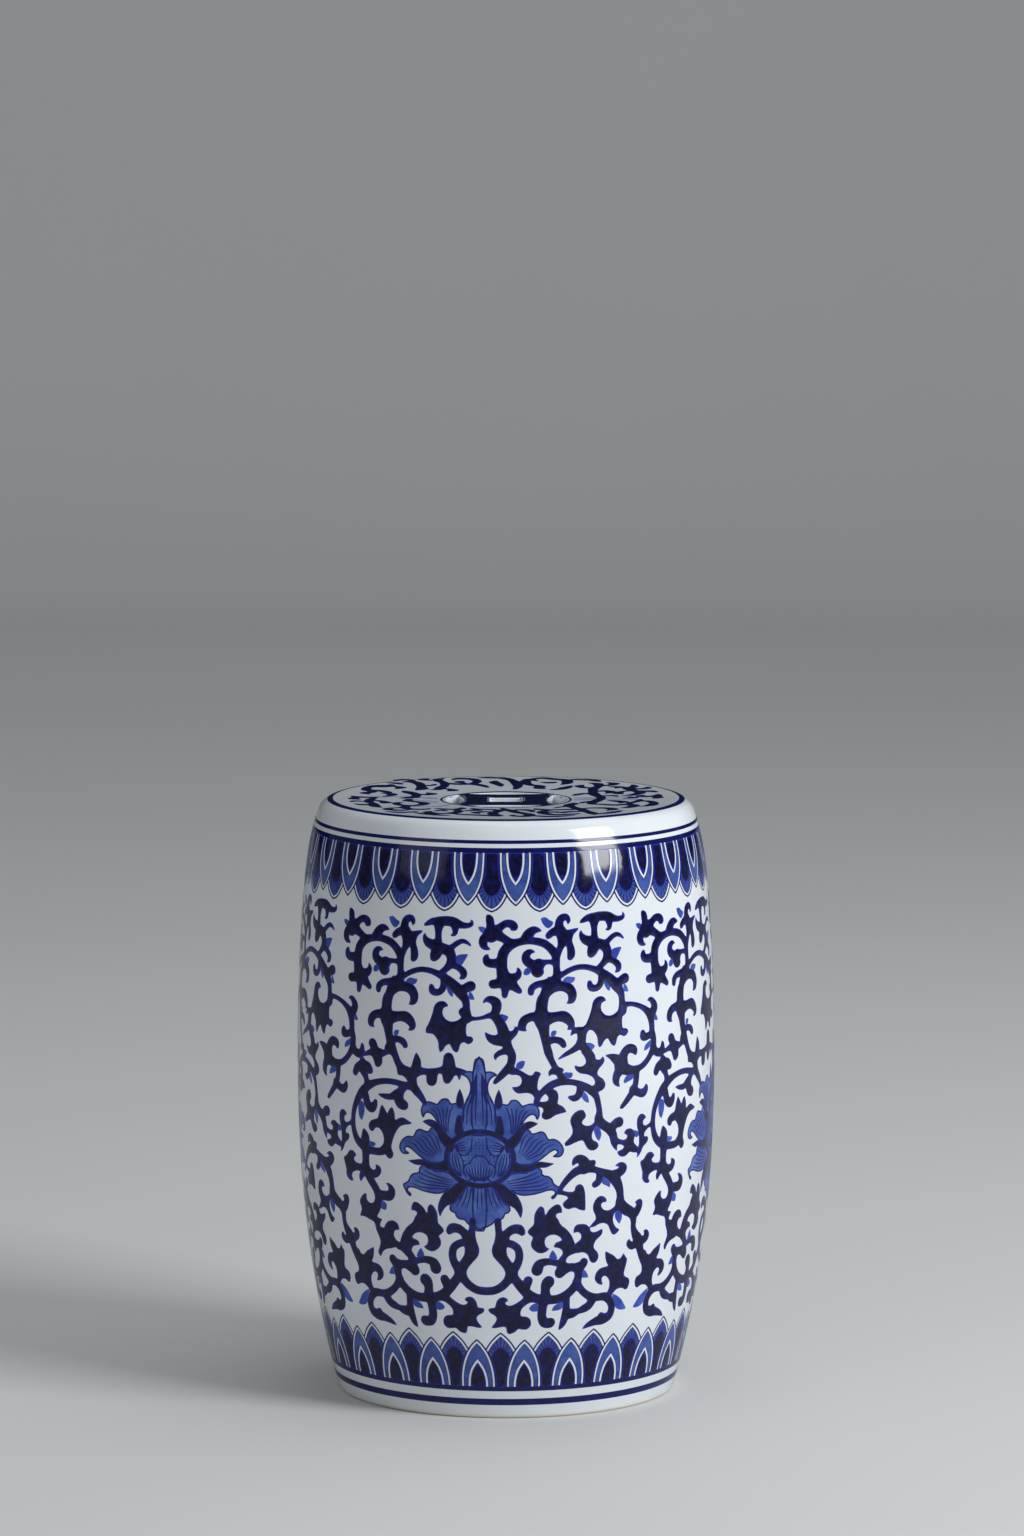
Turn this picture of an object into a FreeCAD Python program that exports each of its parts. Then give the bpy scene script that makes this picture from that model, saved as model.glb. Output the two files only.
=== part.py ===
import FreeCAD, Part
import math
import os

# A drum-shaped ceramic garden stool, hollow and open below, with a pierced coin in its seat.
# It is thrown and moulded in sections, which are joined with slip in stepped laps.
# Millimetres, Z up, with the origin on the floor at the stool's axis.

# The outline of the drum, from the photograph: the arcs above the belly end at depths below the seat
stool_height = 450.0
belly_radius = 157.7
belly_level = 256.0
belly_arc_radius = 1620.0
lower_arc_top = 193.5
lower_arc_radius = 876.0
upper_arc_depth = 87.0
upper_arc_radius = 712.0
neck_arc_depth = 45.0
neck_arc_radius = 190.0
shoulder_radius = 12.0

# The thickness of the clay
body_wall = 8.0
foot_wall = 14.0
seat_thickness = 11.0

# The foot's rim on the floor
foot_edge_radius = 4.0
foot_inner_radius = 3.0

# The stepped laps that join the sections, each at the level of its outer seam
foot_seam_level = 18.5
waist_seam_level = 252.0
shoulder_lap_cover = 2.2
lap_height = 6.0
slip_thickness = 1.0

# The seat disc, which drops into a rabbet in the shoulder
seat_rabbet_width = 8.0
seat_rabbet_depth = 5.5
seat_dish_depth = 1.7
coin_field_radius = 52.0

# The pierced coin: a square hole and four lens-shaped openings
coin_hole_width = 24.0
coin_hole_corner_radius = 2.5
lens_outer_radius = 45.0
lens_inner_reach = 32.0
lens_half_length = 27.0
lens_count = 4

# The coils of clay pressed over the seams inside
waist_coil_width = 16.0
waist_coil_depth = 5.0
seat_coil_width = 14.0
seat_coil_depth = 5.0

FULL_TURN = 360.0
LEAST_EDGE = 1e-6


def moved(point, angle, distance):
    """A point moved along a direction in the section plane."""
    return (point[0] + distance * math.cos(angle), point[1] + distance * math.sin(angle))


def tangent_centre(centre, radius, next_radius, angle):
    """The centre of the arc that goes on from another one at an angle, with no corner."""
    return moved(centre, angle, radius - next_radius)


def angle_at(centre, radius, level):
    """The angle on a circle of the section at a level."""
    return math.asin((level - centre[1]) / radius)


# The drum's outline is four arcs, each tangent to the next.
belly_centre = (belly_radius - belly_arc_radius, belly_level)
lower_angle = angle_at(belly_centre, belly_arc_radius, lower_arc_top)
upper_angle = angle_at(belly_centre, belly_arc_radius, stool_height - upper_arc_depth)
lower_centre = tangent_centre(belly_centre, belly_arc_radius, lower_arc_radius, lower_angle)
upper_centre = tangent_centre(belly_centre, belly_arc_radius, upper_arc_radius, upper_angle)
neck_angle = angle_at(upper_centre, upper_arc_radius, stool_height - neck_arc_depth)
neck_centre = tangent_centre(upper_centre, upper_arc_radius, neck_arc_radius, neck_angle)
QUARTER_TURN = math.pi / 2
OUTLINE = (
    (lower_centre, lower_arc_radius, -QUARTER_TURN, lower_angle),
    (belly_centre, belly_arc_radius, lower_angle, upper_angle),
    (upper_centre, upper_arc_radius, upper_angle, neck_angle),
    (neck_centre, neck_arc_radius, neck_angle, QUARTER_TURN),
)


def wall_radius(level, depth=0.0):
    """The radius of the drum's wall at a level, at a depth under its outer face."""
    for centre, radius, first, last in OUTLINE:
        arc_radius = radius - depth
        if level <= centre[1] + arc_radius * math.sin(last):
            return centre[0] + arc_radius * math.cos(angle_at(centre, arc_radius, level))
    raise ValueError("no outline at level %s" % level)


def rounding_centre(wall_centre, wall_arc, level, radius, upwards):
    """The centre of a rounding inside a wall's arc that is tangent to it and to a level."""
    centre_level = level - radius if upwards else level + radius
    reach = wall_arc - radius
    out = math.sqrt(reach ** 2 - (centre_level - wall_centre[1]) ** 2)
    return (wall_centre[0] + out, centre_level)


shoulder_centre = rounding_centre(neck_centre, neck_arc_radius, stool_height, shoulder_radius, True)
shoulder_angle = math.atan2(shoulder_centre[1] - neck_centre[1], shoulder_centre[0] - neck_centre[0])
crest_radius = shoulder_centre[0]
foot_centre = rounding_centre(lower_centre, lower_arc_radius, 0.0, foot_edge_radius, False)
foot_angle = math.atan2(foot_centre[1] - lower_centre[1], foot_centre[0] - lower_centre[0])
foot_bore_radius = wall_radius(foot_seam_level, foot_wall)
seat_underside = stool_height - seat_thickness
seat_ledge_level = stool_height - seat_rabbet_depth
seat_boss_radius = crest_radius - seat_rabbet_width
shoulder_seam_level = seat_underside - shoulder_lap_cover - lap_height - slip_thickness


def vector(point):
    """A point of the section plane in space."""
    return FreeCAD.Vector(point[0], 0.0, point[1])


def line(first, last):
    return Part.makeLine(vector(first), vector(last))


def arc(centre, radius, first, last):
    """An arc of the section from one angle to another."""
    angles = (first, (first + last) / 2, last)
    points = [vector(moved(centre, angle, radius)) for angle in angles]
    return Part.Arc(*points).toShape()


def wall_edges(low, high, depth=0.0):
    """The drum's wall between two levels, as one arc for each arc of the outline."""
    edges = []
    for centre, radius, first, last in OUTLINE:
        arc_radius = radius - depth
        bottom = max(low, centre[1] + arc_radius * math.sin(first))
        top = min(high, centre[1] + arc_radius * math.sin(last))
        if top - bottom > LEAST_EDGE:
            start = angle_at(centre, arc_radius, bottom)
            end = angle_at(centre, arc_radius, top)
            edges.append(arc(centre, arc_radius, start, end))
    return edges


def lines_through(points):
    return [line(first, last) for first, last in zip(points, points[1:])]


def turned(edges):
    """The solid that a closed section makes when it is turned about the stool's axis."""
    wire = Part.Wire(Part.sortEdges(edges)[0])
    solid = Part.Face(wire).revolve(FreeCAD.Vector(), FreeCAD.Vector(0, 0, 1), FULL_TURN)
    if not solid.isValid() or len(solid.Solids) != 1:
        raise ValueError("a section did not turn into one solid")
    return solid.Solids[0]


def lap_radius(seam):
    """The middle of the wall at a seam, where the two sections lap."""
    return wall_radius(seam, body_wall / 2)


def lap_lip(seam):
    """The top of the section under a seam, from its inner face to its outer face."""
    lip_face = lap_radius(seam) - slip_thickness / 2
    lip_top = seam + lap_height
    return [(wall_radius(lip_top, body_wall), lip_top), (lip_face, lip_top),
            (lip_face, seam), (wall_radius(seam), seam)]


def lap_skirt(seam):
    """The bottom of the section over a seam, from its outer face to its inner face."""
    skirt_face = lap_radius(seam) + slip_thickness / 2
    skirt_bottom = seam + slip_thickness
    inner_bottom = skirt_bottom + lap_height
    return [(wall_radius(skirt_bottom), skirt_bottom), (skirt_face, skirt_bottom),
            (skirt_face, inner_bottom), (wall_radius(inner_bottom, body_wall), inner_bottom)]


def make_foot_ring():
    """The thick foot, with a flat rim to stand on and a lip that the barrel laps."""
    lip = lap_lip(foot_seam_level)
    lip_top = lip[0][1]
    bore_corner = (foot_bore_radius + foot_inner_radius, foot_inner_radius)
    outer = wall_edges(foot_centre[1] + foot_edge_radius * math.sin(foot_angle), foot_seam_level)
    edges = [arc(foot_centre, foot_edge_radius, -QUARTER_TURN, foot_angle)] + outer
    edges += lines_through(lip)
    edges += [
        line(lip[0], (foot_bore_radius, lip_top)),
        line((foot_bore_radius, lip_top), (foot_bore_radius, foot_inner_radius)),
        arc(bore_corner, foot_inner_radius, -math.pi, -QUARTER_TURN),
        line((bore_corner[0], 0.0), (foot_centre[0], 0.0)),
    ]
    return turned(edges)


def make_barrel(lower_seam, upper_seam):
    """One section of the drum's wall, between two seams."""
    skirt = lap_skirt(lower_seam)
    lip = lap_lip(upper_seam)
    edges = lines_through(skirt) + lines_through(lip)
    edges += wall_edges(skirt[0][1], upper_seam)
    edges += wall_edges(skirt[-1][1], lip[0][1], body_wall)
    return turned(edges)


def make_lap_slip(seam):
    """The slip that fills a stepped lap from the outer face to the inner one."""
    lip = lap_lip(seam)
    skirt = lap_skirt(seam)
    edges = lines_through(lip) + lines_through(skirt)
    edges += wall_edges(seam, skirt[0][1])
    edges += wall_edges(lip[0][1], skirt[-1][1], body_wall)
    return turned(edges)


def make_shoulder_ring():
    """The rounded shoulder, with the rabbet that the seat disc drops into."""
    skirt = lap_skirt(shoulder_seam_level)
    roll_start = shoulder_centre[1] + shoulder_radius * math.sin(shoulder_angle)
    inner_corner = (wall_radius(seat_underside, body_wall), seat_underside)
    edges = lines_through(skirt)
    edges += wall_edges(skirt[0][1], roll_start)
    edges += wall_edges(skirt[-1][1], seat_underside, body_wall)
    edges += [
        arc(shoulder_centre, shoulder_radius, shoulder_angle, QUARTER_TURN),
        line((crest_radius, stool_height), (crest_radius, seat_ledge_level)),
        line((crest_radius, seat_ledge_level), (seat_boss_radius, seat_ledge_level)),
        line((seat_boss_radius, seat_ledge_level), (seat_boss_radius, seat_underside)),
        line((seat_boss_radius, seat_underside), inner_corner),
    ]
    return turned(edges)


def seat_top_level(radius):
    """The height of the shallow dish in the seat at a radius."""
    slope = seat_dish_depth / (crest_radius - coin_field_radius)
    return stool_height - slope * (crest_radius - radius)


def make_seat_slip():
    """The slip round the seat disc and under its edge."""
    disc_radius = crest_radius - slip_thickness
    disc_ledge = seat_ledge_level + slip_thickness
    boss_face = seat_boss_radius - slip_thickness
    points = [
        (crest_radius, stool_height),
        (crest_radius, seat_ledge_level),
        (seat_boss_radius, seat_ledge_level),
        (seat_boss_radius, seat_underside),
        (boss_face, seat_underside),
        (boss_face, disc_ledge),
        (disc_radius, disc_ledge),
        (disc_radius, seat_top_level(disc_radius)),
        (crest_radius, stool_height),
    ]
    return turned(lines_through(points))


def coin_hole():
    """The square hole in the middle of the coin, with rounded corners."""
    half = coin_hole_width / 2
    block = Part.makeBox(coin_hole_width, coin_hole_width, stool_height,
                         FreeCAD.Vector(-half, -half, 0))
    upright = [edge for edge in block.Edges if abs(edge.tangentAt(edge.FirstParameter).z) > 0.5]
    return block.makeFillet(coin_hole_corner_radius, upright)


def lens_opening(turn):
    """One opening between the coin's rim and its hollow side."""
    tip_reach = math.sqrt(lens_outer_radius ** 2 - lens_half_length ** 2)
    tips = [FreeCAD.Vector(tip_reach, side * lens_half_length, 0) for side in (-1, 1)]
    outer = Part.Arc(tips[0], FreeCAD.Vector(lens_outer_radius, 0, 0), tips[1]).toShape()
    inner = Part.Arc(tips[1], FreeCAD.Vector(lens_inner_reach, 0, 0), tips[0]).toShape()
    lens = Part.Face(Part.Wire([outer, inner])).extrude(FreeCAD.Vector(0, 0, stool_height))
    lens.rotate(FreeCAD.Vector(), FreeCAD.Vector(0, 0, 1), turn * FULL_TURN / lens_count)
    return lens


def make_seat_disc():
    """The seat, a shallow dish with the pierced coin in its middle."""
    disc_radius = crest_radius - slip_thickness
    disc_ledge = seat_ledge_level + slip_thickness
    boss_face = seat_boss_radius - slip_thickness
    field_level = seat_top_level(coin_field_radius)
    points = [
        (0.0, seat_underside),
        (boss_face, seat_underside),
        (boss_face, disc_ledge),
        (disc_radius, disc_ledge),
        (disc_radius, seat_top_level(disc_radius)),
        (coin_field_radius, field_level),
        (0.0, field_level),
        (0.0, seat_underside),
    ]
    disc = turned(lines_through(points)).cut(coin_hole())
    for turn in range(lens_count):
        disc = disc.cut(lens_opening(turn))
    return disc


def make_waist_coil():
    """The coil pressed over the waist seam, inside the drum."""
    middle = waist_seam_level + lap_height + slip_thickness / 2
    low = middle - waist_coil_width / 2
    high = middle + waist_coil_width / 2
    ends = [vector((wall_radius(level, body_wall), level)) for level in (low, high)]
    crown = vector((wall_radius(middle, body_wall + waist_coil_depth), middle))
    edges = wall_edges(low, high, body_wall) + [Part.Arc(ends[0], crown, ends[1]).toShape()]
    return turned(edges)


def make_seat_coil():
    """The coil pressed over the seat's seam, under the seat."""
    middle = seat_boss_radius - slip_thickness / 2
    ends = [(middle - seat_coil_width / 2, seat_underside),
            (middle + seat_coil_width / 2, seat_underside)]
    crown = vector((middle, seat_underside - seat_coil_depth))
    edges = [line(*ends), Part.Arc(vector(ends[0]), crown, vector(ends[1])).toShape()]
    return turned(edges)


def main():
    nodes = {
        "foot_ring": make_foot_ring(),
        "foot_slip": make_lap_slip(foot_seam_level),
        "lower_barrel": make_barrel(foot_seam_level, waist_seam_level),
        "waist_slip": make_lap_slip(waist_seam_level),
        "waist_coil": make_waist_coil(),
        "upper_barrel": make_barrel(waist_seam_level, shoulder_seam_level),
        "shoulder_slip": make_lap_slip(shoulder_seam_level),
        "shoulder_ring": make_shoulder_ring(),
        "seat_slip": make_seat_slip(),
        "seat_disc": make_seat_disc(),
        "seat_coil": make_seat_coil(),
    }
    os.makedirs("parts", exist_ok=True)
    for name, shape in nodes.items():
        shape.exportStep("parts/%s.step" % name)
        box = shape.BoundBox
        print("%-14s volume %9.0f mm3, z %6.2f to %6.2f, radius %6.2f"
              % (name, shape.Volume, box.ZMin, box.ZMax, box.XMax))


main()
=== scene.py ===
import math
from collections import namedtuple

import bpy
import numpy as np
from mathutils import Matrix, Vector, geometry


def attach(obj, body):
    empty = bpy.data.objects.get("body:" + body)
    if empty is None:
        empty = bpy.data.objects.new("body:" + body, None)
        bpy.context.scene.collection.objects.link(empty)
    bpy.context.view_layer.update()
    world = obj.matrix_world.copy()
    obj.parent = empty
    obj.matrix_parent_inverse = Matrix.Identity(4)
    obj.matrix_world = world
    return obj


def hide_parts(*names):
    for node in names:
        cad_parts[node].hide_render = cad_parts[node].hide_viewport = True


bl_info = {
    "name": "Ceramic garden stool",
    "version": (1, 0, 0),
    "blender": (4, 5, 0),
    "location": "3D View > Sidebar > Stool",
    "description": "Builds the glaze, the cobalt painting and the setting of a drum-shaped garden stool",
    "category": "Object",
}

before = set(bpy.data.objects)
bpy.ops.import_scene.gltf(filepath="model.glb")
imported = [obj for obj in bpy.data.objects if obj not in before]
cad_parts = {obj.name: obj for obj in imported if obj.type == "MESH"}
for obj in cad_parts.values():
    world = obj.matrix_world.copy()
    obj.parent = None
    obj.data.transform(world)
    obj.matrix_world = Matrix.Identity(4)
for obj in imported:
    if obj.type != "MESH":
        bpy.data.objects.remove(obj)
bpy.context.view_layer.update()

# Lengths are millimetres on the stool, and metres in Blender.
MM = 0.001
FULL_TURN = 2 * math.pi
QUARTER_TURN = math.pi / 2

# The drum's outline and its sections, as the CAD source gives them
stool_height = 450.0
belly_radius = 157.7
belly_level = 256.0
belly_arc_radius = 1620.0
lower_arc_top = 193.5
lower_arc_radius = 876.0
upper_arc_depth = 87.0
upper_arc_radius = 712.0
neck_arc_depth = 45.0
neck_arc_radius = 190.0
shoulder_radius = 12.0
body_wall = 8.0
foot_wall = 14.0
seat_thickness = 11.0
foot_edge_radius = 4.0
foot_inner_radius = 3.0
foot_seam_level = 18.5
waist_seam_level = 252.0
shoulder_lap_cover = 2.2
lap_height = 6.0
slip_thickness = 1.0
seat_rabbet_width = 8.0
seat_rabbet_depth = 5.5
seat_dish_depth = 1.7
coin_field_radius = 52.0
coin_hole_width = 24.0
coin_hole_corner_radius = 2.5
lens_outer_radius = 45.0
lens_inner_reach = 32.0
lens_half_length = 27.0
lens_count = 4
waist_coil_width = 16.0
waist_coil_depth = 5.0
seat_coil_width = 14.0
seat_coil_depth = 5.0

# How finely the drum is turned and its lines are divided
TURN_STEPS = 360
ARC_STEP = 3.5
ROUNDING_STEP = math.radians(11)
COIL_STEPS = 12
CURVE_STEPS = 5
BORDER_CURVE_STEPS = 4
ELLIPSE_STEPS = 28
EDGE_STEPS = 4
DISH_STEPS = 14
LINE_STEPS = 6
SWEEP_STEPS = 17

# Distances that count as none: along an outline, between two points, at a motif's end and in a weld
LEAST_EDGE = 1e-6
LEAST_GAP = 1e-4
LEAST_RUN = 1e-9
ON_END = 1e-4
WELD = 1e-5
SEAT_WELD = 0.002

# The angles in degrees up to which an edge stays smooth
fired_smooth_angle = 28.0
painted_smooth_angle = 35.0
plain_smooth_angle = 40.0

# Where the glaze ends: how far under the wall's face a face is bare, and how high the foot's bare rim is
inner_face_margin = 0.3
foot_bare_height = 2.2

# The painting on the wall: a lotus and its scroll fill each quarter of the way round
wall_length = FULL_TURN * belly_radius
lotus_count = 4
quarter_length = wall_length / lotus_count
lotus_turn = math.radians(-6.9)
scroll_low, scroll_high = 64.0, 385.0
upper_tier_level = 286.0
second_upper_motif = (3.3 - quarter_length / 2, -2.2)
lotus_window = (-66.0, 65.0, 146.0, 280.0)
lotus_cell = 0.4
border_cell = 0.3
coin_cell = 0.5
coin_margin = 2.0

# How far under a painting's edge its rings of points lie, and how far apart the points of a ring stand
POINT_RINGS = {
    "scroll": ((0.0, 0.9), 1.3),
    "scroll_buds": ((0.0, 0.8), 1.2),
    "lotus_wash": ((0.0, 0.8), 0.8),
    "lotus_lines": ((0.0,), 0.8),
    "lotus_sepals": ((0.0, 0.9), 0.8),
    "border": ((0.0, 0.6), 0.9),
    "seat_scroll": ((0.0, 1.1), 1.3),
    "seat_veins": ((0.0,), 1.3),
    "coin_field": ((0.0, 0.9), 1.2),
}
wall_grid_gap = 4.0
seat_grid_gap = 5.0
pierced_ring_gap, pierced_grid_gap = 1.1, 6.0

# How lines are thinned out and drawn: the fewest points worth it, the turn that is a corner, how much wider
# a deeper ring's gap is, and how straight a curve leaves a corner
fewest_thinned = 8
corner_turn = 0.45
deeper_gap_growth = 0.35
corner_pull = 0.8

# How far the points of the grid stay from the rings, the round border and the sides, as shares of their gap
ring_clearance = 0.3
border_clearance = 0.5
side_clearance = 0.35
end_clearance = 0.2

# Upper tier, repeated every eighth of the way round
UPPER_STROKES = (
    # trunk and first arch
    ((50.5, 280, 6.5), (48.8, 286, 6), (47.8, 292, 7), (46.8, 299, 9), (45.5, 305, 12), (45.3, 311, 9.5),
     (46.5, 318, 8), (48.5, 324, 8), (53, 330, 11), (57, 335, 7), (57, 343, 5.5), (56.8, 350, 6),
     (54, 355.5, 6.5), (49, 360, 6), (43, 362.3, 6), (36, 362.8, 5), (28, 362, 6), (21.5, 359.3, 7.5),
     (17, 354, 8), (16, 347, 8), (16.3, 340, 9), (18.5, 334, 12)),
    # club, hook and lobes on the left of the arch
    ((8, 366, 9), (7.3, 374, 6.5), (6.6, 379, 6), (4.4, 382, 1)),
    ((9, 369, 8), (14.5, 373, 6), (19, 375.8, 5.6), (23.6, 375.2, 6.2), (25.6, 372.8, 5), (22.2, 371, 1)),
    ((6, 368.5, 9), (11.5, 367.8, 8.5), (17, 365, 6.5), (23, 362.3, 5), (29, 362, 5)),
    ((6, 367.5, 7), (2.2, 364.5, 6.5), (1.8, 360.5, 6.3), (4, 357.8, 3.8), (7.8, 356.8, .7)),
    ((14, 347, 7), (9, 346.4, 6.8), (5, 347.3, 6.3), (4, 350.5, 4.5), (5.6, 353, 1.2)),
    ((17, 333.5, 9), (12.5, 331.5, 7), (9.4, 331.2, 7)),
    ((18.6, 333, 9), (18.4, 327, 6), (18, 322.8, 4.6)),
    ((21, 333, 10), (25.5, 329, 6.5), (29, 326, 4.4)),
    ((21, 335, 8), (27, 336.8, 6), (28.7, 340.3, 3.8), (27, 344, .6)),
    # leaf on the arch
    ((32, 363, 6), (35.5, 367.5, 7.5), (39.5, 370.6, 6.2), (43.2, 370.8, 3.6), (46.2, 369.7, .7)),
    # hook inside the arch
    ((57, 346, 5), (51, 347.2, 3.6), (45, 346.3, 5.5)),
    ((44.5, 344.5, 7), (39, 345.3, 7.5), (34.2, 348.6, 6.8), (34.3, 352.8, 6), (37.5, 355.2, 3.6),
     (41.2, 354.2, .8)),
    ((43.5, 346, 8), (41, 341.5, 7.5), (42.4, 338.6, 6), (45.6, 338.8, 3.2), (47.5, 341.2, .7)),
    # leaves on the trunk
    ((53, 331, 9), (47, 331.4, 5.6), (41.5, 330.4, 5.2), (38, 327.8, 5.2), (37.5, 324.8, 5)),
    ((50.6, 332, 4), (50.8, 336.6, .7)),
    ((45, 310, 8), (43.3, 316, 4.6), (43, 322.6, .6)),
    ((53, 329, 10), (60, 329, 7.5), (66, 327.3, 8), (69, 323, 7.2), (68.6, 319, 6), (66.6, 316.8, 2.8),
     (63.8, 316, .7)),
    ((46, 306, 9), (38.5, 307, 6.6), (32.5, 304.4, 6.6), (30.8, 300, 6.2), (31.6, 297.8, 3.2),
     (35, 296.5, .7)),
    ((49, 305, 10), (56, 306.4, 7.5), (62.5, 306.3, 8.5), (67, 302.5, 6.8), (68, 299, 4.4),
     (64.2, 296.2, .7)),
    ((49, 288, 6), (55, 289.5, 5), (60, 288, 5.4), (62, 285.2, 4.8)),
    # right arch, with its hook, club and lower end
    ((60, 336.5, 4), (66, 340, 4.2), (73, 342.2, 4.2), (80, 342.2, 4.4), (87, 340.2, 5), (93.5, 337, 6.5),
     (99.5, 332.5, 8), (105, 327.3, 8.5), (109.3, 321, 6.2), (110.2, 314.5, 5.6), (110.5, 308, 8)),
    ((92.5, 334.5, 5), (91.8, 329, 5.2), (88, 326, 5), (83.8, 327, 5.6), (82.9, 330.4, 4)),
    ((105, 326, 7), (109.3, 330, 6.8), (113.2, 331.6, 8)),
    # plume over the right arch
    ((91, 341.5, 4), (95.5, 345, 5.6), (98.4, 350, 7.4), (97.2, 355.5, 8), (93, 358.3, 8), (88.5, 358.5, 8),
     (86, 354.5, 9), (84.5, 351.6, 6.2)),
    ((86, 360.5, 8), (80, 362.3, 7), (76.8, 366.2, 3.6), (77, 370, .7)),
    ((88, 358, 8), (87.8, 365, 5.6), (87.7, 371.5, 5.6), (88, 377, 9)),
    ((90, 378.2, 6), (84, 378.6, 5.4), (79, 376.6, 3.8), (75.6, 374.8, .9)),
    ((87, 379, 6), (94, 379, 7.4), (100, 378.4, 7.2), (106, 376.3, 5.2), (111, 376.2, 4), (113.8, 377.7, 3),
     (113, 381.4, .7)),
    ((100.5, 375.5, 6), (101, 371, 4.2), (99.5, 368.9, 2.6), (96.8, 368.8, .7)),
    ((92.5, 357.8, 6), (98, 359.6, 4.6), (102.6, 363, 4.2), (107, 364.7, 3.6), (111, 363.1, 2.6),
     (114, 360.2, .7)),
    ((98, 347.5, 6), (103, 345.6, 5), (107.4, 342.2, 5.6), (107.6, 338.7, 4.4), (104.2, 336.5, .8)),
    # plume over the trunk
    ((57.8, 349, 3.4), (59.8, 356, 4.6), (61.8, 362, 7.4), (61.4, 368, 9), (59.4, 373, 7), (60.8, 378.3, 6),
     (65, 380, 4.6), (67, 377.2, 3.6), (66.2, 374.3, 1)),
    ((61, 369.5, 8), (55, 369.2, 6), (51.2, 366.4, 5.2)),
    ((62, 366, 7), (67, 367.6, 5.4), (71.5, 369.4, 3.4), (75.6, 371.3, .6)),
    ((69, 368, 4.6), (67.2, 362, 4.8), (68.4, 356, 6.2), (68.6, 352, 6.4), (67.6, 349.7, 4.6)),
)
UPPER_LEAVES = (
    # great leaf under the right arch
    ((108, 312), (107, 309), (103.3, 306), (99, 305), (95, 306.2), (92.3, 309.5), (92, 313), (93.6, 315.4),
     (97, 316, 0), (94, 319.5), (89.5, 319.7), (85.6, 316.5), (83.8, 310), (81.5, 304), (79.3, 299),
     (80.3, 295.3), (83.5, 295.4), (86.3, 293.5), (88.6, 289.5), (89, 285), (90, 281.3, 0), (92.3, 283),
     (94.5, 286.7), (97.6, 288.6, 0), (99, 285.4), (101, 282.8), (103.2, 281.7, 0), (104.6, 284.3),
     (105.8, 288.5), (108.5, 290), (111.3, 288.4), (114, 289.5), (115.6, 292.2), (113.6, 294.6),
     (110.6, 294.6), (110, 299), (110.6, 304), (113, 309)),
)
UPPER_BUDS = (
    ((45, 379.4, 0), (49, 380.2), (52, 378), (55.3, 376), (53, 372.6), (50.3, 371.8), (47, 375)),
    ((-2.5, 373.2, 0), (1, 373.5), (4.2, 372), (4.5, 369), (1.2, 368.6), (-1, 370.4)),
    ((32, 338.2), (33, 342.3), (36.5, 343.6, 0), (38, 340.5), (35.5, 337.8)),
    ((61.5, 333), (65, 335.8), (69, 335.4), (72, 335.2, 0), (70.3, 331.8), (67.3, 330.6), (63.5, 331)),
    ((101, 347.5), (102, 353.5), (106.5, 355), (111.5, 355.3, 0), (108.6, 350.3), (105.8, 346.2),
     (103, 346)),
    ((94.6, 330), (97.4, 330.5), (100, 327.6), (99.7, 322.7, 0), (96.8, 325)),
    ((112.4, 328.3, 0), (114.8, 325.6), (116.6, 321.2, 0), (114, 321.6), (111.8, 322), (111.6, 325.5)),
    ((52, 292, 0), (52.4, 295), (54, 296.3), (57, 296.3, 0), (56.3, 293.6), (54.6, 291.6)),
)
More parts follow.
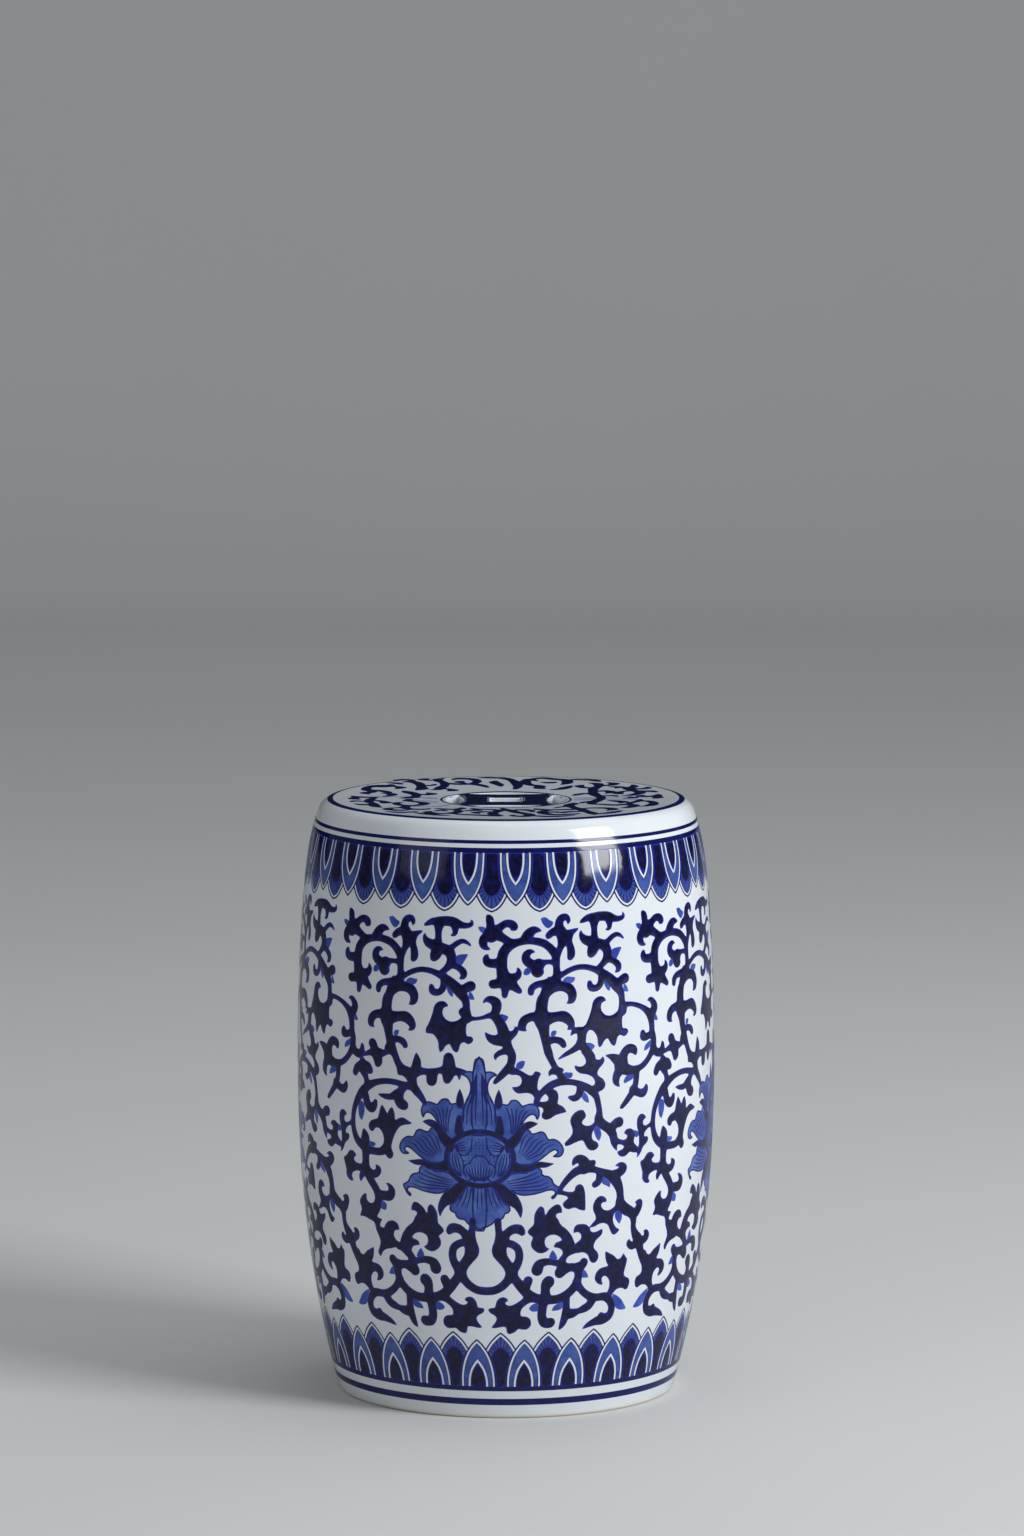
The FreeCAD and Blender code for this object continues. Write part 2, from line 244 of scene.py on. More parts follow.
# Tiers on the right of each lotus
RIGHT_STROKES = (
    # the branch that comes from the arch on the left and climbs down beside the lotus
    ((-13, 310, 7), (-9.5, 306, 4), (-4, 305.4, 3), (2, 306.4, 3), (7.5, 308, 4.6), (12, 306, 7),
     (15.5, 300.5, 8), (17.6, 294, 9), (19, 288, 8), (21.5, 283, 6), (23.4, 278, 6.4), (22.5, 272, 6),
     (19.3, 267.5, 6), (14.5, 262.3, 5), (10.8, 258.3, 3.2)),
    ((10, 308, 6), (12, 313, 7), (11.6, 317.5, 7.5), (7.2, 320, 5.4), (3.4, 319, 2.4), (1.6, 315.8, .7)),
    ((18, 290.5, 10), (12, 289.7, 8), (7, 291.4, 5.2), (3.3, 295.8, .7)),
    ((18, 292, 10), (23.2, 293.6, 5.6), (26.3, 296.8, 3.8), (25.6, 300.4, .6)),
    ((22.5, 281.5, 6), (17, 281.3, 4.6), (12.6, 279.2, 4), (11, 276.9, 2.4), (11.9, 274.2, .6)),
    # trunk down to the second arch
    ((50.5, 280, 6.5), (52.3, 275, 5), (54.6, 270.5, 4.6), (57.3, 266, 5), (60.5, 261.5, 5.4), (63, 258, 5)),
    ((58, 265.8, 5.6), (54, 266.1, 5), (51.7, 264.9, 3), (51, 262, .7)),
    ((57, 266.5, 5), (60, 266.8, 3.6), (62.2, 266.6, .8)),
    ((41, 243.5, 4), (44.5, 249.3, 4.6), (50.5, 254.6, 5.4), (56.5, 257.3, 5.8), (63, 257.8, 5),
     (70, 257, 4.6), (77, 254.6, 5), (83, 250.6, 6.4), (87.5, 246, 5.4), (89.3, 240, 4.8), (90.4, 234, 5),
     (90, 228, 7.5), (93.5, 224, 7.5), (98.5, 220.5, 7.5), (102.2, 215.5, 7), (103, 210.5, 6),
     (104.3, 206.5, 3.4), (105.6, 203.2, .8)),
    ((75, 252.5, 6), (73.8, 247.7, 5.6), (70.6, 245.1, 5), (67.4, 245.9, 3.4), (65, 246.3, .8)),
    ((101, 221, 7), (104.6, 224.3, 7), (107.2, 224.7, 8.2)),
    # branch from the great leaf down to the second arch
    ((80, 297, 5), (76.5, 293, 7), (76, 288, 7), (74, 284.5, 6), (69, 281, 4.4), (63, 278, 3.2),
     (57, 274.3, .8)),
    ((77.5, 295, 5.6), (72.4, 295.8, 4.8), (69.2, 294.3, 3), (67.2, 291.3, .7)),
    ((75, 286, 7), (80, 280.5, 6.4), (84, 275, 6.4)),
    # the branch past the middle between two lotuses
    ((110.5, 311, 5), (116, 312.2, 3.8), (123, 311, 3.8), (130, 308, 4.6), (135.5, 303.5, 6.4),
     (138, 297, 6), (138.6, 290, 5.4), (140, 284, 5.8), (139.3, 277.5, 6), (136, 271.5, 5), (131, 266.5, 5),
     (125.5, 263.6, 5), (119, 262.6, 6.6), (113, 263.8, 9), (107.5, 267, 9.5)),
    ((138.5, 302.5, 7.6), (141.6, 307.8, 6.6), (139.3, 312.3, 5), (136.6, 313.9, 3), (133.8, 312.6, .7)),
    ((137.5, 288, 5), (133, 286.2, 5.6), (129.4, 286.4, 6), (129.2, 289.4, 5)),
    ((140, 277, 6), (143.4, 273.4, 6.4), (148, 273.4, 6.4), (149.8, 277, 4.6), (149.6, 279.7, 3.4)),
    ((95, 275.4, .9), (99, 274.7, 3.4), (104.5, 272, 7.6), (110, 267.5, 9)),
    ((110.5, 268, 9), (111.2, 275, 7.4), (115.6, 279, 6.8), (120.4, 278, 6.4), (122, 274.9, 3.2)),
    ((109, 265, 9), (105.2, 260.5, 7), (104.3, 256, 6), (105.6, 253, 3), (108.3, 251, .7)),
    ((122.8, 263, 6), (122.6, 256, 5.6), (121.6, 250.5, 5.2), (119, 246, 5.6), (115, 241.4, 5),
     (111, 237.2, 4), (109.2, 235.6, 3.2)),
    ((119.5, 248, 7), (124.5, 245.3, 6.2), (129, 244.4, 6.6), (131.8, 247, 5), (132.4, 249.8, 2.8)),
    # third arch and its end over the lowest leaves
    ((58.3, 175, 3.4), (62, 180.6, 4.4), (67, 186.2, 5.4), (73, 190.5, 6.6), (80, 191.6, 6.4),
     (87, 190.6, 5), (94, 188, 5.8), (101, 184.8, 8), (106, 180, 8.6), (109, 174, 7), (110, 168, 6.6),
     (110.4, 162.5, 9), (115.5, 158, 9), (121, 154.8, 8), (123.6, 149.5, 5.8), (123.7, 143.5, 5),
     (126, 138, 7), (129.5, 133.3, 9), (131.5, 128, 7.5), (134, 122, 7), (138, 116, 8)),
    ((78.5, 192, 9), (78.6, 196.5, 8.6), (75, 199.6, 6.6), (71.4, 198.4, 5), (69.1, 194.2, .7)),
    ((80, 194.3, 6.4), (86, 196, 4.5)),
    ((104, 186.2, 6), (109, 186.8, 7), (112, 190, 6.6), (109, 192.7, 3.6), (104.2, 191.8, .8)),
    ((91.5, 186.5, 6), (90.7, 181.5, 5.6), (87.6, 179.3, 5.3)),
    ((125.3, 154, 7), (128.2, 158.5, 6.4), (128.6, 162.2, 5), (123.8, 162.2, .8)),
    ((128.5, 131.5, 7), (124, 129, 6), (120.6, 130.9, 5), (120.4, 133.4, 3)),
    ((129, 133, 8), (134.5, 132.3, 6.6), (138, 134.6, 6), (137.6, 138, 4.4), (134.5, 139.6, .7)),
)
RIGHT_LEAVES = (
    ((20, 269.5), (25, 269.6), (30, 267.2), (34.3, 264.6), (38, 263.4), (40.3, 266.8, 0), (43, 266),
     (45, 264.8), (43.2, 261), (42.3, 256), (42.6, 252.5), (44.4, 250.2), (41, 245.6), (38.2, 249.2),
     (34, 250.4), (28, 250), (25, 252), (22.4, 255.6, 0), (26, 255), (29, 256), (30.5, 258.6), (30, 262),
     (27, 264), (22, 264.2)),
    ((51, 251.8), (55.6, 252.2), (57.8, 249), (58, 245), (57.3, 241.8), (61, 240), (63, 237.6),
     (64.9, 235.2, 0), (60, 234.3), (55.5, 233), (52, 230.8), (48.5, 230), (45.8, 231.3), (45.3, 234.3),
     (46.8, 237), (45.5, 239.3), (42, 239.9), (37.3, 241, 0), (42, 243.4), (47, 243.6), (50, 244.4),
     (50.3, 247), (48.6, 249.4)),
    ((81, 281.5), (84.5, 278), (86.5, 274), (89, 272.8), (91.5, 273.2), (92.3, 276, 0), (94.8, 272.5),
     (93, 269), (89.8, 265.8), (88.5, 262.5), (90, 260.5), (93.2, 258.3), (95.4, 254.5), (94.3, 251),
     (90.5, 249), (86, 249.5), (84.3, 252.6), (86.8, 255.4), (86, 258), (84.5, 260.3), (80, 262.5),
     (75, 263.4), (72, 265.5), (70.3, 268), (70.2, 270.6, 0), (73.5, 268.7), (77, 269), (79.3, 271.2),
     (78.5, 275), (75.5, 280)),
    ((90, 232), (87, 227.2), (83.5, 224.3), (79.3, 224.2), (76.4, 226), (77, 228.3), (79.3, 230.3),
     (79.2, 233.2), (77.2, 236.4, 0), (73.5, 236), (70, 234), (67.5, 230.5), (67.2, 227), (68.5, 223.5),
     (69, 220), (67.5, 216.7), (62.6, 212, 0), (63.5, 209.6), (67, 210.2), (72, 212.2), (77, 213.3),
     (79, 210), (81.3, 206.5), (85, 205), (88.4, 206), (90.2, 208.6), (88.4, 211.6), (85.3, 213),
     (84.4, 216.5), (85.8, 220.5), (88, 224)),
    ((102.5, 214.8), (107, 212.4), (111.5, 210.9), (114.4, 212), (114.6, 214.4), (111.2, 215.3, 0),
     (113.5, 218.4), (117.5, 219.1), (121, 217), (122.3, 213.5), (121, 210), (121.6, 207.3), (124.6, 204.5),
     (126.6, 200.2, 0), (121, 200.3), (117.5, 201.4), (114.5, 199), (111, 198.1), (107.6, 199.5),
     (106, 202.4), (110, 203.8), (112.3, 205.6), (110, 207.3), (105.2, 208.3), (101.5, 209)),
    # leaf under the third arch
    ((58, 177), (62, 176.2), (67, 175.1), (71, 175.3), (71.3, 178.2, 0), (74, 180.4), (77.3, 179.8),
     (79.5, 175), (80.2, 168), (80.5, 159.8, 0), (76, 160.8), (71.5, 162.9), (67, 161.8), (63.3, 163.4),
     (62.2, 166.7), (66.9, 170.7, 0), (63, 172.6), (58.6, 173.6)),
    # hooked leaf at the end of the third arch
    ((108, 164), (104.5, 160.7), (100, 158.8), (96, 159.5), (93.4, 162.5), (94.2, 165), (98.7, 165.2, 0),
     (97, 168.6), (93, 170.4), (89.3, 168.8), (86.8, 164.5), (86.7, 160), (88.5, 156.3), (89.3, 153),
     (86.5, 150), (83.8, 146.8, 0), (88, 147), (92, 148.9), (96.5, 149.3), (100, 147.4), (102, 143.5),
     (104.5, 139.8), (107.6, 139.9), (111.2, 143.2, 0), (107.5, 145), (105, 148.5), (104.3, 152),
     (105.5, 156), (110, 159.5)),
    # leaf beside it
    ((75, 128), (73.3, 132.5), (74, 136), (77, 138), (77.8, 141), (76, 143.6), (73.3, 144), (71, 142.6, 0),
     (71.5, 147), (73.5, 149.7), (78, 150.1), (82, 149.2), (84.3, 146.3), (86.5, 143.2), (90.5, 143.4),
     (95.6, 145.6, 0), (95.6, 142), (93.8, 139.4), (91, 137.4), (88.8, 134), (89, 130.5), (92, 127.6),
     (93.3, 124), (92, 120.5), (89.3, 119.2), (86.5, 120.5), (85, 123.6), (83, 126.8), (79, 128.3)),
)
RIGHT_BUDS = (
    ((12.5, 303.5), (13, 307), (15.5, 309.3), (21.3, 307.3, 0), (19, 303.8), (15.5, 302.6)),
    ((26, 268.8, 0), (27, 272.6), (30, 274.4), (33.3, 274.3, 0), (32.3, 270.6), (30, 268)),
    ((62.3, 265), (66, 264.7), (69.3, 264.6, 0), (68.4, 260.9), (65, 260.2), (62.6, 262)),
    ((75.3, 250.7), (78.5, 249.3), (81, 246), (82.2, 240.6, 0), (78.6, 242.3), (76, 245.5)),
    ((85.5, 222), (88, 223.6), (91, 221.4), (92.3, 216.5), (90.4, 211.4, 0), (87.6, 215)),
    ((78.5, 286, 0), (82, 286), (85, 285), (87, 283, 0), (84.5, 280.5), (81, 280.7)),
    ((111, 253, 0), (111.3, 256), (114, 259.3), (119, 260.6), (121.5, 259.5), (119, 255.8), (115, 254.2)),
    ((130, 275.4, 0), (131, 279.5), (134, 282), (138, 284, 0), (138, 280.5), (135, 277.3)),
    ((140, 303.5, 0), (143, 302), (145.3, 297.2, 0), (141.5, 297.6), (139.2, 299.5)),
    ((93.3, 186.5, 0), (97, 186.6), (100.4, 183.5), (100.7, 175.6, 0), (97.5, 177.5), (93.8, 179.5),
     (92.6, 183)),
    ((106.5, 157), (109.3, 158.2), (112, 156), (112.4, 151.5), (110.4, 146.9, 0), (107.4, 150.3),
     (105.6, 154)),
)
# Tiers on the left of each lotus
LEFT_STROKES = (
    ((-73.4, 280, 6.5), (-70.5, 283, 6.4), (-67.6, 276, 6), (-64.5, 269.5, 6), (-61, 265, 7.6),
     (-56, 262.5, 9), (-53, 258.5, 8), (-52, 253.5, 7.4), (-49, 249.5, 6.8), (-45.4, 245.5, 5.4),
     (-42.4, 241, 4)),
    ((-62, 265, 7), (-63, 262.6, 5)),
    ((-50, 265, 8), (-48.8, 271, 7), (-49, 275, 4), (-49.3, 278.6, .6)),
    ((-53, 262, 9), (-47, 264.4, 6.4), (-40, 264.8, 4.6), (-33, 265.8, 4.3), (-27, 266.5, 6),
     (-20, 266, 6.4), (-15.5, 266.2, 4.6), (-10.5, 266, 2)),
    ((-36.6, 263, 9), (-37, 258.2, 8.4)),
    ((-23.8, 275.8, 8), (-23.5, 270, 10), (-24, 264, 9.6), (-25, 259.2, 6)),
    ((-16, 266, 5), (-15.6, 262, 2.4), (-15.7, 258, .5)),
    # round branch
    ((-51, 252, 6), (-60, 253.6, 5), (-68, 254.9, 4.6), (-76, 254.9, 4.6), (-84, 253.3, 5),
     (-91, 250.3, 6.6), (-97.5, 245.5, 7), (-102.6, 239, 6), (-106.4, 231.5, 5), (-108, 223.5, 4.8),
     (-107.6, 216, 5.2), (-105, 209.3, 6), (-100.5, 204.6, 6), (-94.5, 202, 6), (-87.5, 201.2, 6),
     (-81, 201.4, 6), (-76, 204, 7)),
    ((-94.5, 243, 6), (-93, 236.5, 7), (-89, 233.4, 7.4), (-86, 236, 5.6), (-85, 239, 3.6)),
    ((-59, 250.5, 4), (-65, 246.8, 6.6), (-71, 243.6, 5), (-77, 243.6, 4), (-83.3, 244.6, .7)),
    ((-62, 249, 6), (-64, 243.5, 8), (-62.5, 239.5, 8.5), (-59.8, 238.3, 8)),
    ((-92.5, 249, 6), (-94.3, 256, 5), (-97, 261.5, 8), (-97.5, 267, 6.6)),
    ((-98, 264, 9), (-103, 262.5, 6.6), (-105.2, 258.6, 5.8)),
    ((-97, 264, 9), (-92.5, 264.4, 7), (-90, 261.5, 5.8)),
    ((-97.3, 271.6, .8), (-93.5, 273.8, 3.6), (-89.5, 275.2, 5), (-84.5, 275.3, 8.6), (-78.5, 275.6, 5.6),
     (-71.6, 276, .7)),
    ((-84, 274, 9), (-82.4, 269.5, 8), (-83, 267.2, 5.6)),
    ((-85.3, 276, 8), (-86.6, 280.5, 7), (-87.8, 282, 7.8)),
    ((-96, 206, 9), (-95.6, 211, 8), (-96.8, 215.8, 3)),
    # branch down to the lowest leaves
    ((-95.5, 201, 8), (-95.7, 194, 7), (-95.6, 187, 8), (-92.5, 180.3, 7), (-88, 174.7, 7), (-84.8, 169, 7),
     (-85, 163, 7), (-88, 157.5, 9), (-93, 155, 12)),
    ((-98.5, 184, 5), (-101, 180.5, 4.6), (-101.9, 176.2, .6)),
    ((-94, 186, 7), (-89.5, 183.8, 6), (-85.5, 184.4, 6), (-83.3, 187.8, 5), (-86.5, 191.2, .7)),
    ((-84, 168.5, 7), (-78.5, 168.3, 7.6), (-73.5, 168.8, 7.6), (-71.7, 173, 6), (-74.2, 176.9, 2.8),
     (-77.6, 178.2, .6)),
    # end of the great leaf on the left
    ((-41.5, 293.2, .7), (-39, 296.8, 5), (-34.5, 298.6, 6), (-30, 299, 8)),
)
LEFT_LEAVES = (
    ((-77.5, 201), (-76.3, 199.3), (-73.5, 196.6), (-70.3, 197.8), (-69.2, 201), (-71, 205), (-70, 210),
     (-67.5, 216), (-64, 221), (-60, 223.3), (-55.5, 224), (-51.3, 225.3, 0), (-55.5, 226.6), (-59.5, 228.8),
     (-63.5, 228.6), (-67.3, 226.3), (-67.6, 231), (-69.7, 236.6, 0), (-72.8, 233.5), (-74.3, 229.2, 0),
     (-75.7, 233), (-79.3, 237.7, 0), (-81.5, 232), (-83.2, 226.5), (-87.5, 225), (-91, 222.8),
     (-92.2, 219.3), (-90.5, 216.3), (-87.5, 216), (-86, 218.3), (-82.8, 219.3), (-79.5, 216.5),
     (-77.8, 212), (-78.5, 207.5), (-82, 203.3)),
    ((-96, 193), (-99, 190.5), (-103, 190), (-107, 191), (-108.3, 193.5), (-105.2, 195.5, 0), (-107, 197.9),
     (-110, 199.2), (-113.5, 198.3), (-116.3, 194.8), (-120.4, 192.8, 0), (-119, 188.5), (-117.5, 184),
     (-117.7, 180), (-115.5, 176.8), (-112, 175.5), (-108.2, 176.5, 0), (-111, 178.3), (-110.3, 182),
     (-106, 184), (-100, 184.5), (-96, 184)),
    ((-84, 166), (-88.5, 161.5), (-92, 160.8), (-95.5, 162.5), (-96.5, 164.8), (-95.8, 168.8, 0),
     (-100, 166.8), (-103.5, 162.5), (-103.8, 159.5), (-102.3, 156.5), (-103.3, 153), (-105.4, 149.7, 0),
     (-100, 150), (-95, 148.5), (-90.5, 147), (-89, 144), (-88, 140), (-84, 139), (-84.5, 145.5),
     (-81.2, 150.4, 0), (-85.8, 150.8), (-87.3, 154), (-85.5, 158.5), (-82.5, 162)),
    ((-58, 130), (-63, 132.8), (-67.5, 134), (-70.8, 136.5), (-71.8, 140), (-70, 142.8), (-66.2, 143.2, 0),
     (-67.3, 147.5), (-71, 150), (-76, 149.2), (-79.3, 146.3), (-80.8, 143.4), (-84, 144.3), (-88.5, 145.5),
     (-88, 140.5), (-86, 136), (-85, 132), (-86.5, 128), (-88.2, 124), (-85.7, 120.2, 0), (-83.7, 124.5),
     (-80, 127.2), (-75, 128.3), (-70, 129.6), (-65.5, 127), (-61, 123.3), (-57.5, 120.5), (-54, 124)),
    ((-110, 219), (-113.5, 217), (-116.5, 214.2), (-116.5, 211.3), (-113.5, 211.5), (-112.5, 209),
     (-114.5, 206), (-117.5, 204), (-119.3, 200.3), (-121.5, 197.5), (-124.2, 195, 0), (-122.3, 203),
     (-121.7, 208), (-122.3, 214), (-124, 220), (-124, 225), (-122, 228.2), (-119, 229), (-116, 227.3),
     (-114.7, 225.2, 0), (-117.5, 224.3), (-118.2, 221.5), (-116.5, 219.6), (-112.5, 220.6),
     (-108.5, 223.5)),
)
LEFT_BUDS = (
    ((-99.5, 238), (-96.2, 235.5), (-96, 229.5), (-98.6, 222.8, 0), (-101.2, 225), (-102.4, 230.5),
     (-101.8, 235.5)),
    ((-84.3, 164.5), (-80.5, 164.4), (-77, 162), (-77.5, 157.2, 0), (-82.5, 158), (-84.5, 161)),
    ((-124, 211.5), (-122, 213.5), (-123.5, 216.5), (-128.5, 217.5, 0), (-127.2, 213.6)),
    ((-93, 208.4), (-89, 208.2), (-85.2, 207.4, 0), (-86.5, 204.8), (-91, 204.4)),
)
# Lowest tier on the right of its axis; the left is its mirror image
LOW_AXIS = 3.3
LOW_STROKES = (
    ((3.3, 100.3, 6.4), (10, 101, 6.4), (16.3, 104.4, 6.6), (20.8, 109.5, 7), (22.4, 115.2, 8),
     (20, 120.6, 8), (16, 126, 9), (13.8, 131, 11.5), (14.5, 137, 9.5), (13.8, 143, 6), (13.2, 149, 5.2),
     (12.8, 154, 5.8)),
    ((17, 137.5, 5), (22.6, 136.8, 6), (27.8, 133.5, 6), (29.3, 127.6, 6.3), (28, 121.6, 6.5),
     (24.6, 116.3, 8), (25.2, 111.5, 7), (28.4, 106.6, 7.5), (33, 101, 7.5), (38.5, 96.4, 8), (45, 94, 7.2),
     (52, 93, 7), (60, 93.3, 7), (67, 96, 7), (72.6, 100.6, 7), (76, 106, 6.6), (77, 112, 7), (76, 117, 8)),
    ((17.5, 141, 7), (20, 145, 6.5), (24.3, 147.9, 7), (29, 147.9, 7.4), (31.3, 145.2, 5)),
    ((34, 101, 6), (35.6, 105.5, 6.6), (36.4, 108.3, 7.4)),
    ((51, 94, 9), (50.2, 100, 7.4), (50.8, 105, 8.6), (52.6, 106.9, 9.6)),
    ((49, 92, 8), (48.2, 86, 7.4), (48, 80, 7.4), (49.8, 75.6, 7.6), (54, 74.9, 8), (55.6, 75.3, 7.6)),
    ((67.6, 94, 6), (68, 87, 6), (67.4, 80, 6.6), (65.6, 74, 5.4), (62.3, 68.8, .7)),
    ((68.5, 81, 8), (73.5, 81.5, 7.4), (76.8, 82.4, 5.6)),
    ((77.5, 82.6, 4), (83, 84.4, 6.4), (87.6, 86.8, 7), (90.5, 91, 7)),
    ((75.6, 106, 7), (78.6, 101, 6), (83, 96.6, 6), (89, 93.2, 6.4), (95, 92.4, 6), (101, 92.4, 6.6),
     (106.4, 88.8, 6.6), (109, 83, 6.6), (107.2, 77, 7), (101, 74.8, 8.4), (95, 73.8, 6.6), (88, 71.4, 4.2),
     (82.8, 68.4, .7)),
    ((101, 76, 6), (99.4, 77.9, 5.4)),
    ((77, 115, 7), (80, 119, 7), (80.8, 120.4, 7.2)),
    ((77, 116, 7), (70, 117.4, 6.6), (63.5, 115.6, 9), (61.4, 113.6, 8.6)),
    ((65, 119.5, 5), (58.3, 121.3, 5), (51, 122.6, 5.6), (45, 120.7, 7.6), (43.3, 116.5, 9.4)),
)
LOW_LEAVES = (
    ((34.5, 96), (31, 93.6), (27, 91), (22.5, 89.2), (19, 90), (18.3, 91.8), (21.5, 92.6, 0), (19.5, 95),
     (16, 95.9), (12.5, 94), (10.8, 90.5), (10.2, 87.6), (7.5, 87.4), (4.3, 86.6, 0), (6, 83.5), (9, 82),
     (11.5, 79.5), (10.5, 76.5), (8.5, 74), (6.3, 71.7, 0), (10, 71.5), (14, 72.3), (19, 72.5), (19.3, 69.5),
     (20.8, 66.7, 0), (24, 67.5), (27, 69), (29, 71), (31.5, 70.5), (36, 70.5), (39, 73), (39.3, 77),
     (37, 80), (33.5, 80.8), (31, 81), (30.8, 84.5), (32.5, 87.5), (35.5, 89.8), (38.5, 91.3), (44, 92),
     (42, 97)),
    ((61, 118.5), (60, 123.5), (62, 126.5), (63.3, 128.8), (61.5, 131.8), (58, 133), (55.2, 133.2, 0),
     (57, 136.5), (60, 137.8), (62.6, 138.3, 0), (60.5, 141), (57, 142.8), (53, 142.8), (49.5, 140.8),
     (48.8, 137.5), (50, 133.8), (53.5, 132.8, 0), (50.5, 130.5), (46, 129), (41.5, 130.8), (38.3, 134.5),
     (38.3, 138.5), (39.8, 141.3), (37.5, 143), (35.3, 145.8), (37.5, 149), (40, 151.5), (40.3, 158),
     (42.5, 163), (45.5, 165.6, 0), (48, 163), (48.3, 159.5), (48.8, 156, 0), (50.5, 161), (54.5, 164.8),
     (58.5, 166.3), (61, 164), (62.3, 158.7, 0), (59.5, 159.5), (56.7, 157.5), (59, 154.5), (61, 150.5),
     (66, 146.5), (70, 141.5), (72.5, 136), (73.5, 132), (76.5, 128.6), (72, 127.5), (67, 125), (65, 120)),
    ((100, 91), (103.3, 95.5), (104.8, 100), (104.3, 104.5), (101.5, 107.9), (98.8, 108.5), (97.3, 106.5),
     (98, 103.8), (99.8, 101.6, 0), (96, 102), (92.6, 104.3), (91, 107.5), (92, 111.5), (95, 114.5),
     (99, 115.5), (102.5, 115.9), (100.8, 118.5), (99.5, 122), (98.6, 128.2, 0), (102.5, 125.9),
     (107, 123.5), (110.5, 120.2, 0), (113.5, 120.9), (116.3, 125.2, 0), (118, 121.6), (120, 120),
     (119.5, 115.5), (118, 108.6), (119.5, 106), (123, 104.5), (124.5, 101), (123, 96.5), (120.5, 95.8),
     (117, 97.5), (112, 96.8), (108.6, 93.6), (105, 89)),
)
LOW_BUDS = (
    ((45.8, 90.3), (42, 90.6), (39, 89), (37, 86.6, 0), (39.5, 84.5), (43, 84.2), (46.5, 86)),
    ((55.7, 84, 0), (57, 87.3), (60, 89.6), (65.3, 91), (65, 86.5), (62, 84.7)),
    ((53, 124), (52.6, 127), (54.8, 131.6, 0), (57, 129.3), (59, 125.3), (58.5, 123.8)),
    ((79.8, 115), (83, 113.6), (86, 108.2, 0), (82.5, 108.5), (79.8, 109)),
    ((108.3, 93.4), (112, 92.6), (117.4, 89), (121, 84.6), (124, 80.8, 0), (119.3, 80.2), (114, 81.8),
     (110.6, 86)),
)
# The lotus: petals in wash, dark sepals round them, and fine lines along each petal
LOTUS_AXIS = -0.8
LOTUS_PETALS = (
    # top petal and its shoulder
    ((-0.8, 277.3, 0), (1.4, 273.5), (3, 269), (3.8, 265.8), (6.5, 266.2), (10, 265.3), (12, 263.8, 0),
     (9, 262.5), (6.5, 259.5), (5.4, 255), (6, 250), (8.5, 245), (10.3, 240), (11.5, 233), (11.9, 222),
     (-5, 222), (-5, 268)),
    # upper petal
    ((19, 214), (25, 219), (28, 224), (31.5, 228.5), (34, 232), (38, 234.5), (41, 233), (42, 230, 0),
     (43.5, 234), (43, 238), (40.5, 241.5), (36, 242), (31, 240.5), (29, 243), (26, 245), (22.5, 244.5),
     (20.5, 241.5), (16, 242), (12.4, 240.5), (11, 236), (11.4, 228), (15, 221)),
    # middle petal
    ((22, 206), (26, 213.5), (29.6, 219.8), (32, 223), (36, 222.5), (38.5, 219.5), (44, 221), (47.5, 220),
     (50.5, 215), (54, 215.3), (58, 213.5), (61, 210), (62, 206), (60.5, 203), (58, 202), (54.5, 202.5, 0),
     (57.5, 204.5), (57.5, 206.5), (55.5, 207.5), (52, 206), (48, 203), (44, 200), (40, 198), (35, 196.8),
     (30.5, 197), (26, 196)),
    # lower petal
    ((14, 184), (22, 189), (27, 190.5), (34, 190.5), (36.5, 193), (40, 194.5), (43, 194), (45.5, 192),
     (46, 188.5), (50, 187.5), (53, 185.5), (55, 181.5), (58, 179.5), (59.5, 178), (57, 173), (54.5, 170.5),
     (53, 171.5, 0), (56.5, 174.5), (54.5, 177), (50, 177), (44, 175.3), (37, 174), (30, 174), (24, 176.5),
     (16, 180)),
    # fan at the bottom
    ((-5, 184), (8, 184), (11, 176), (15, 171), (18.5, 167), (21, 166), (22, 162.5), (20, 160.3), (18, 160),
     (17.5, 158), (15.5, 155.5), (12.5, 155), (10.5, 154.5), (8.5, 152), (5, 150), (1, 148.7), (-5, 148.8)),
)
LOTUS_SEPALS = (
    ((13.8, 253.6, 0), (11.6, 248.6), (10.4, 243), (11.4, 239), (14.4, 238.2), (16.6, 241.4), (16, 247.4)),
    ((10.6, 219), (11.5, 226), (12.2, 233, 0), (15.4, 233.3), (17.3, 227), (17.5, 219)),
    ((43.2, 227.3, 0), (38, 229.2), (33.6, 228.6), (29.4, 225.8), (22.6, 218), (18, 213), (20, 205),
     (28.6, 212.6), (31.8, 219), (34.5, 222.4), (38.5, 224.6)),
    ((55.8, 197, 0), (49, 198.2), (44, 198.8), (36, 196.8), (30, 197.4), (24, 200), (23, 191), (30, 190.8),
     (38, 191.5), (43, 194), (49, 194.2)),
    ((10, 184), (17, 182), (22, 178), (27, 174), (30.4, 168), (31.6, 163), (31, 158.5), (30, 155.8, 0),
     (28, 160), (25, 164), (21, 166), (18.5, 167), (14.5, 172), (11, 177), (8, 180)),
)
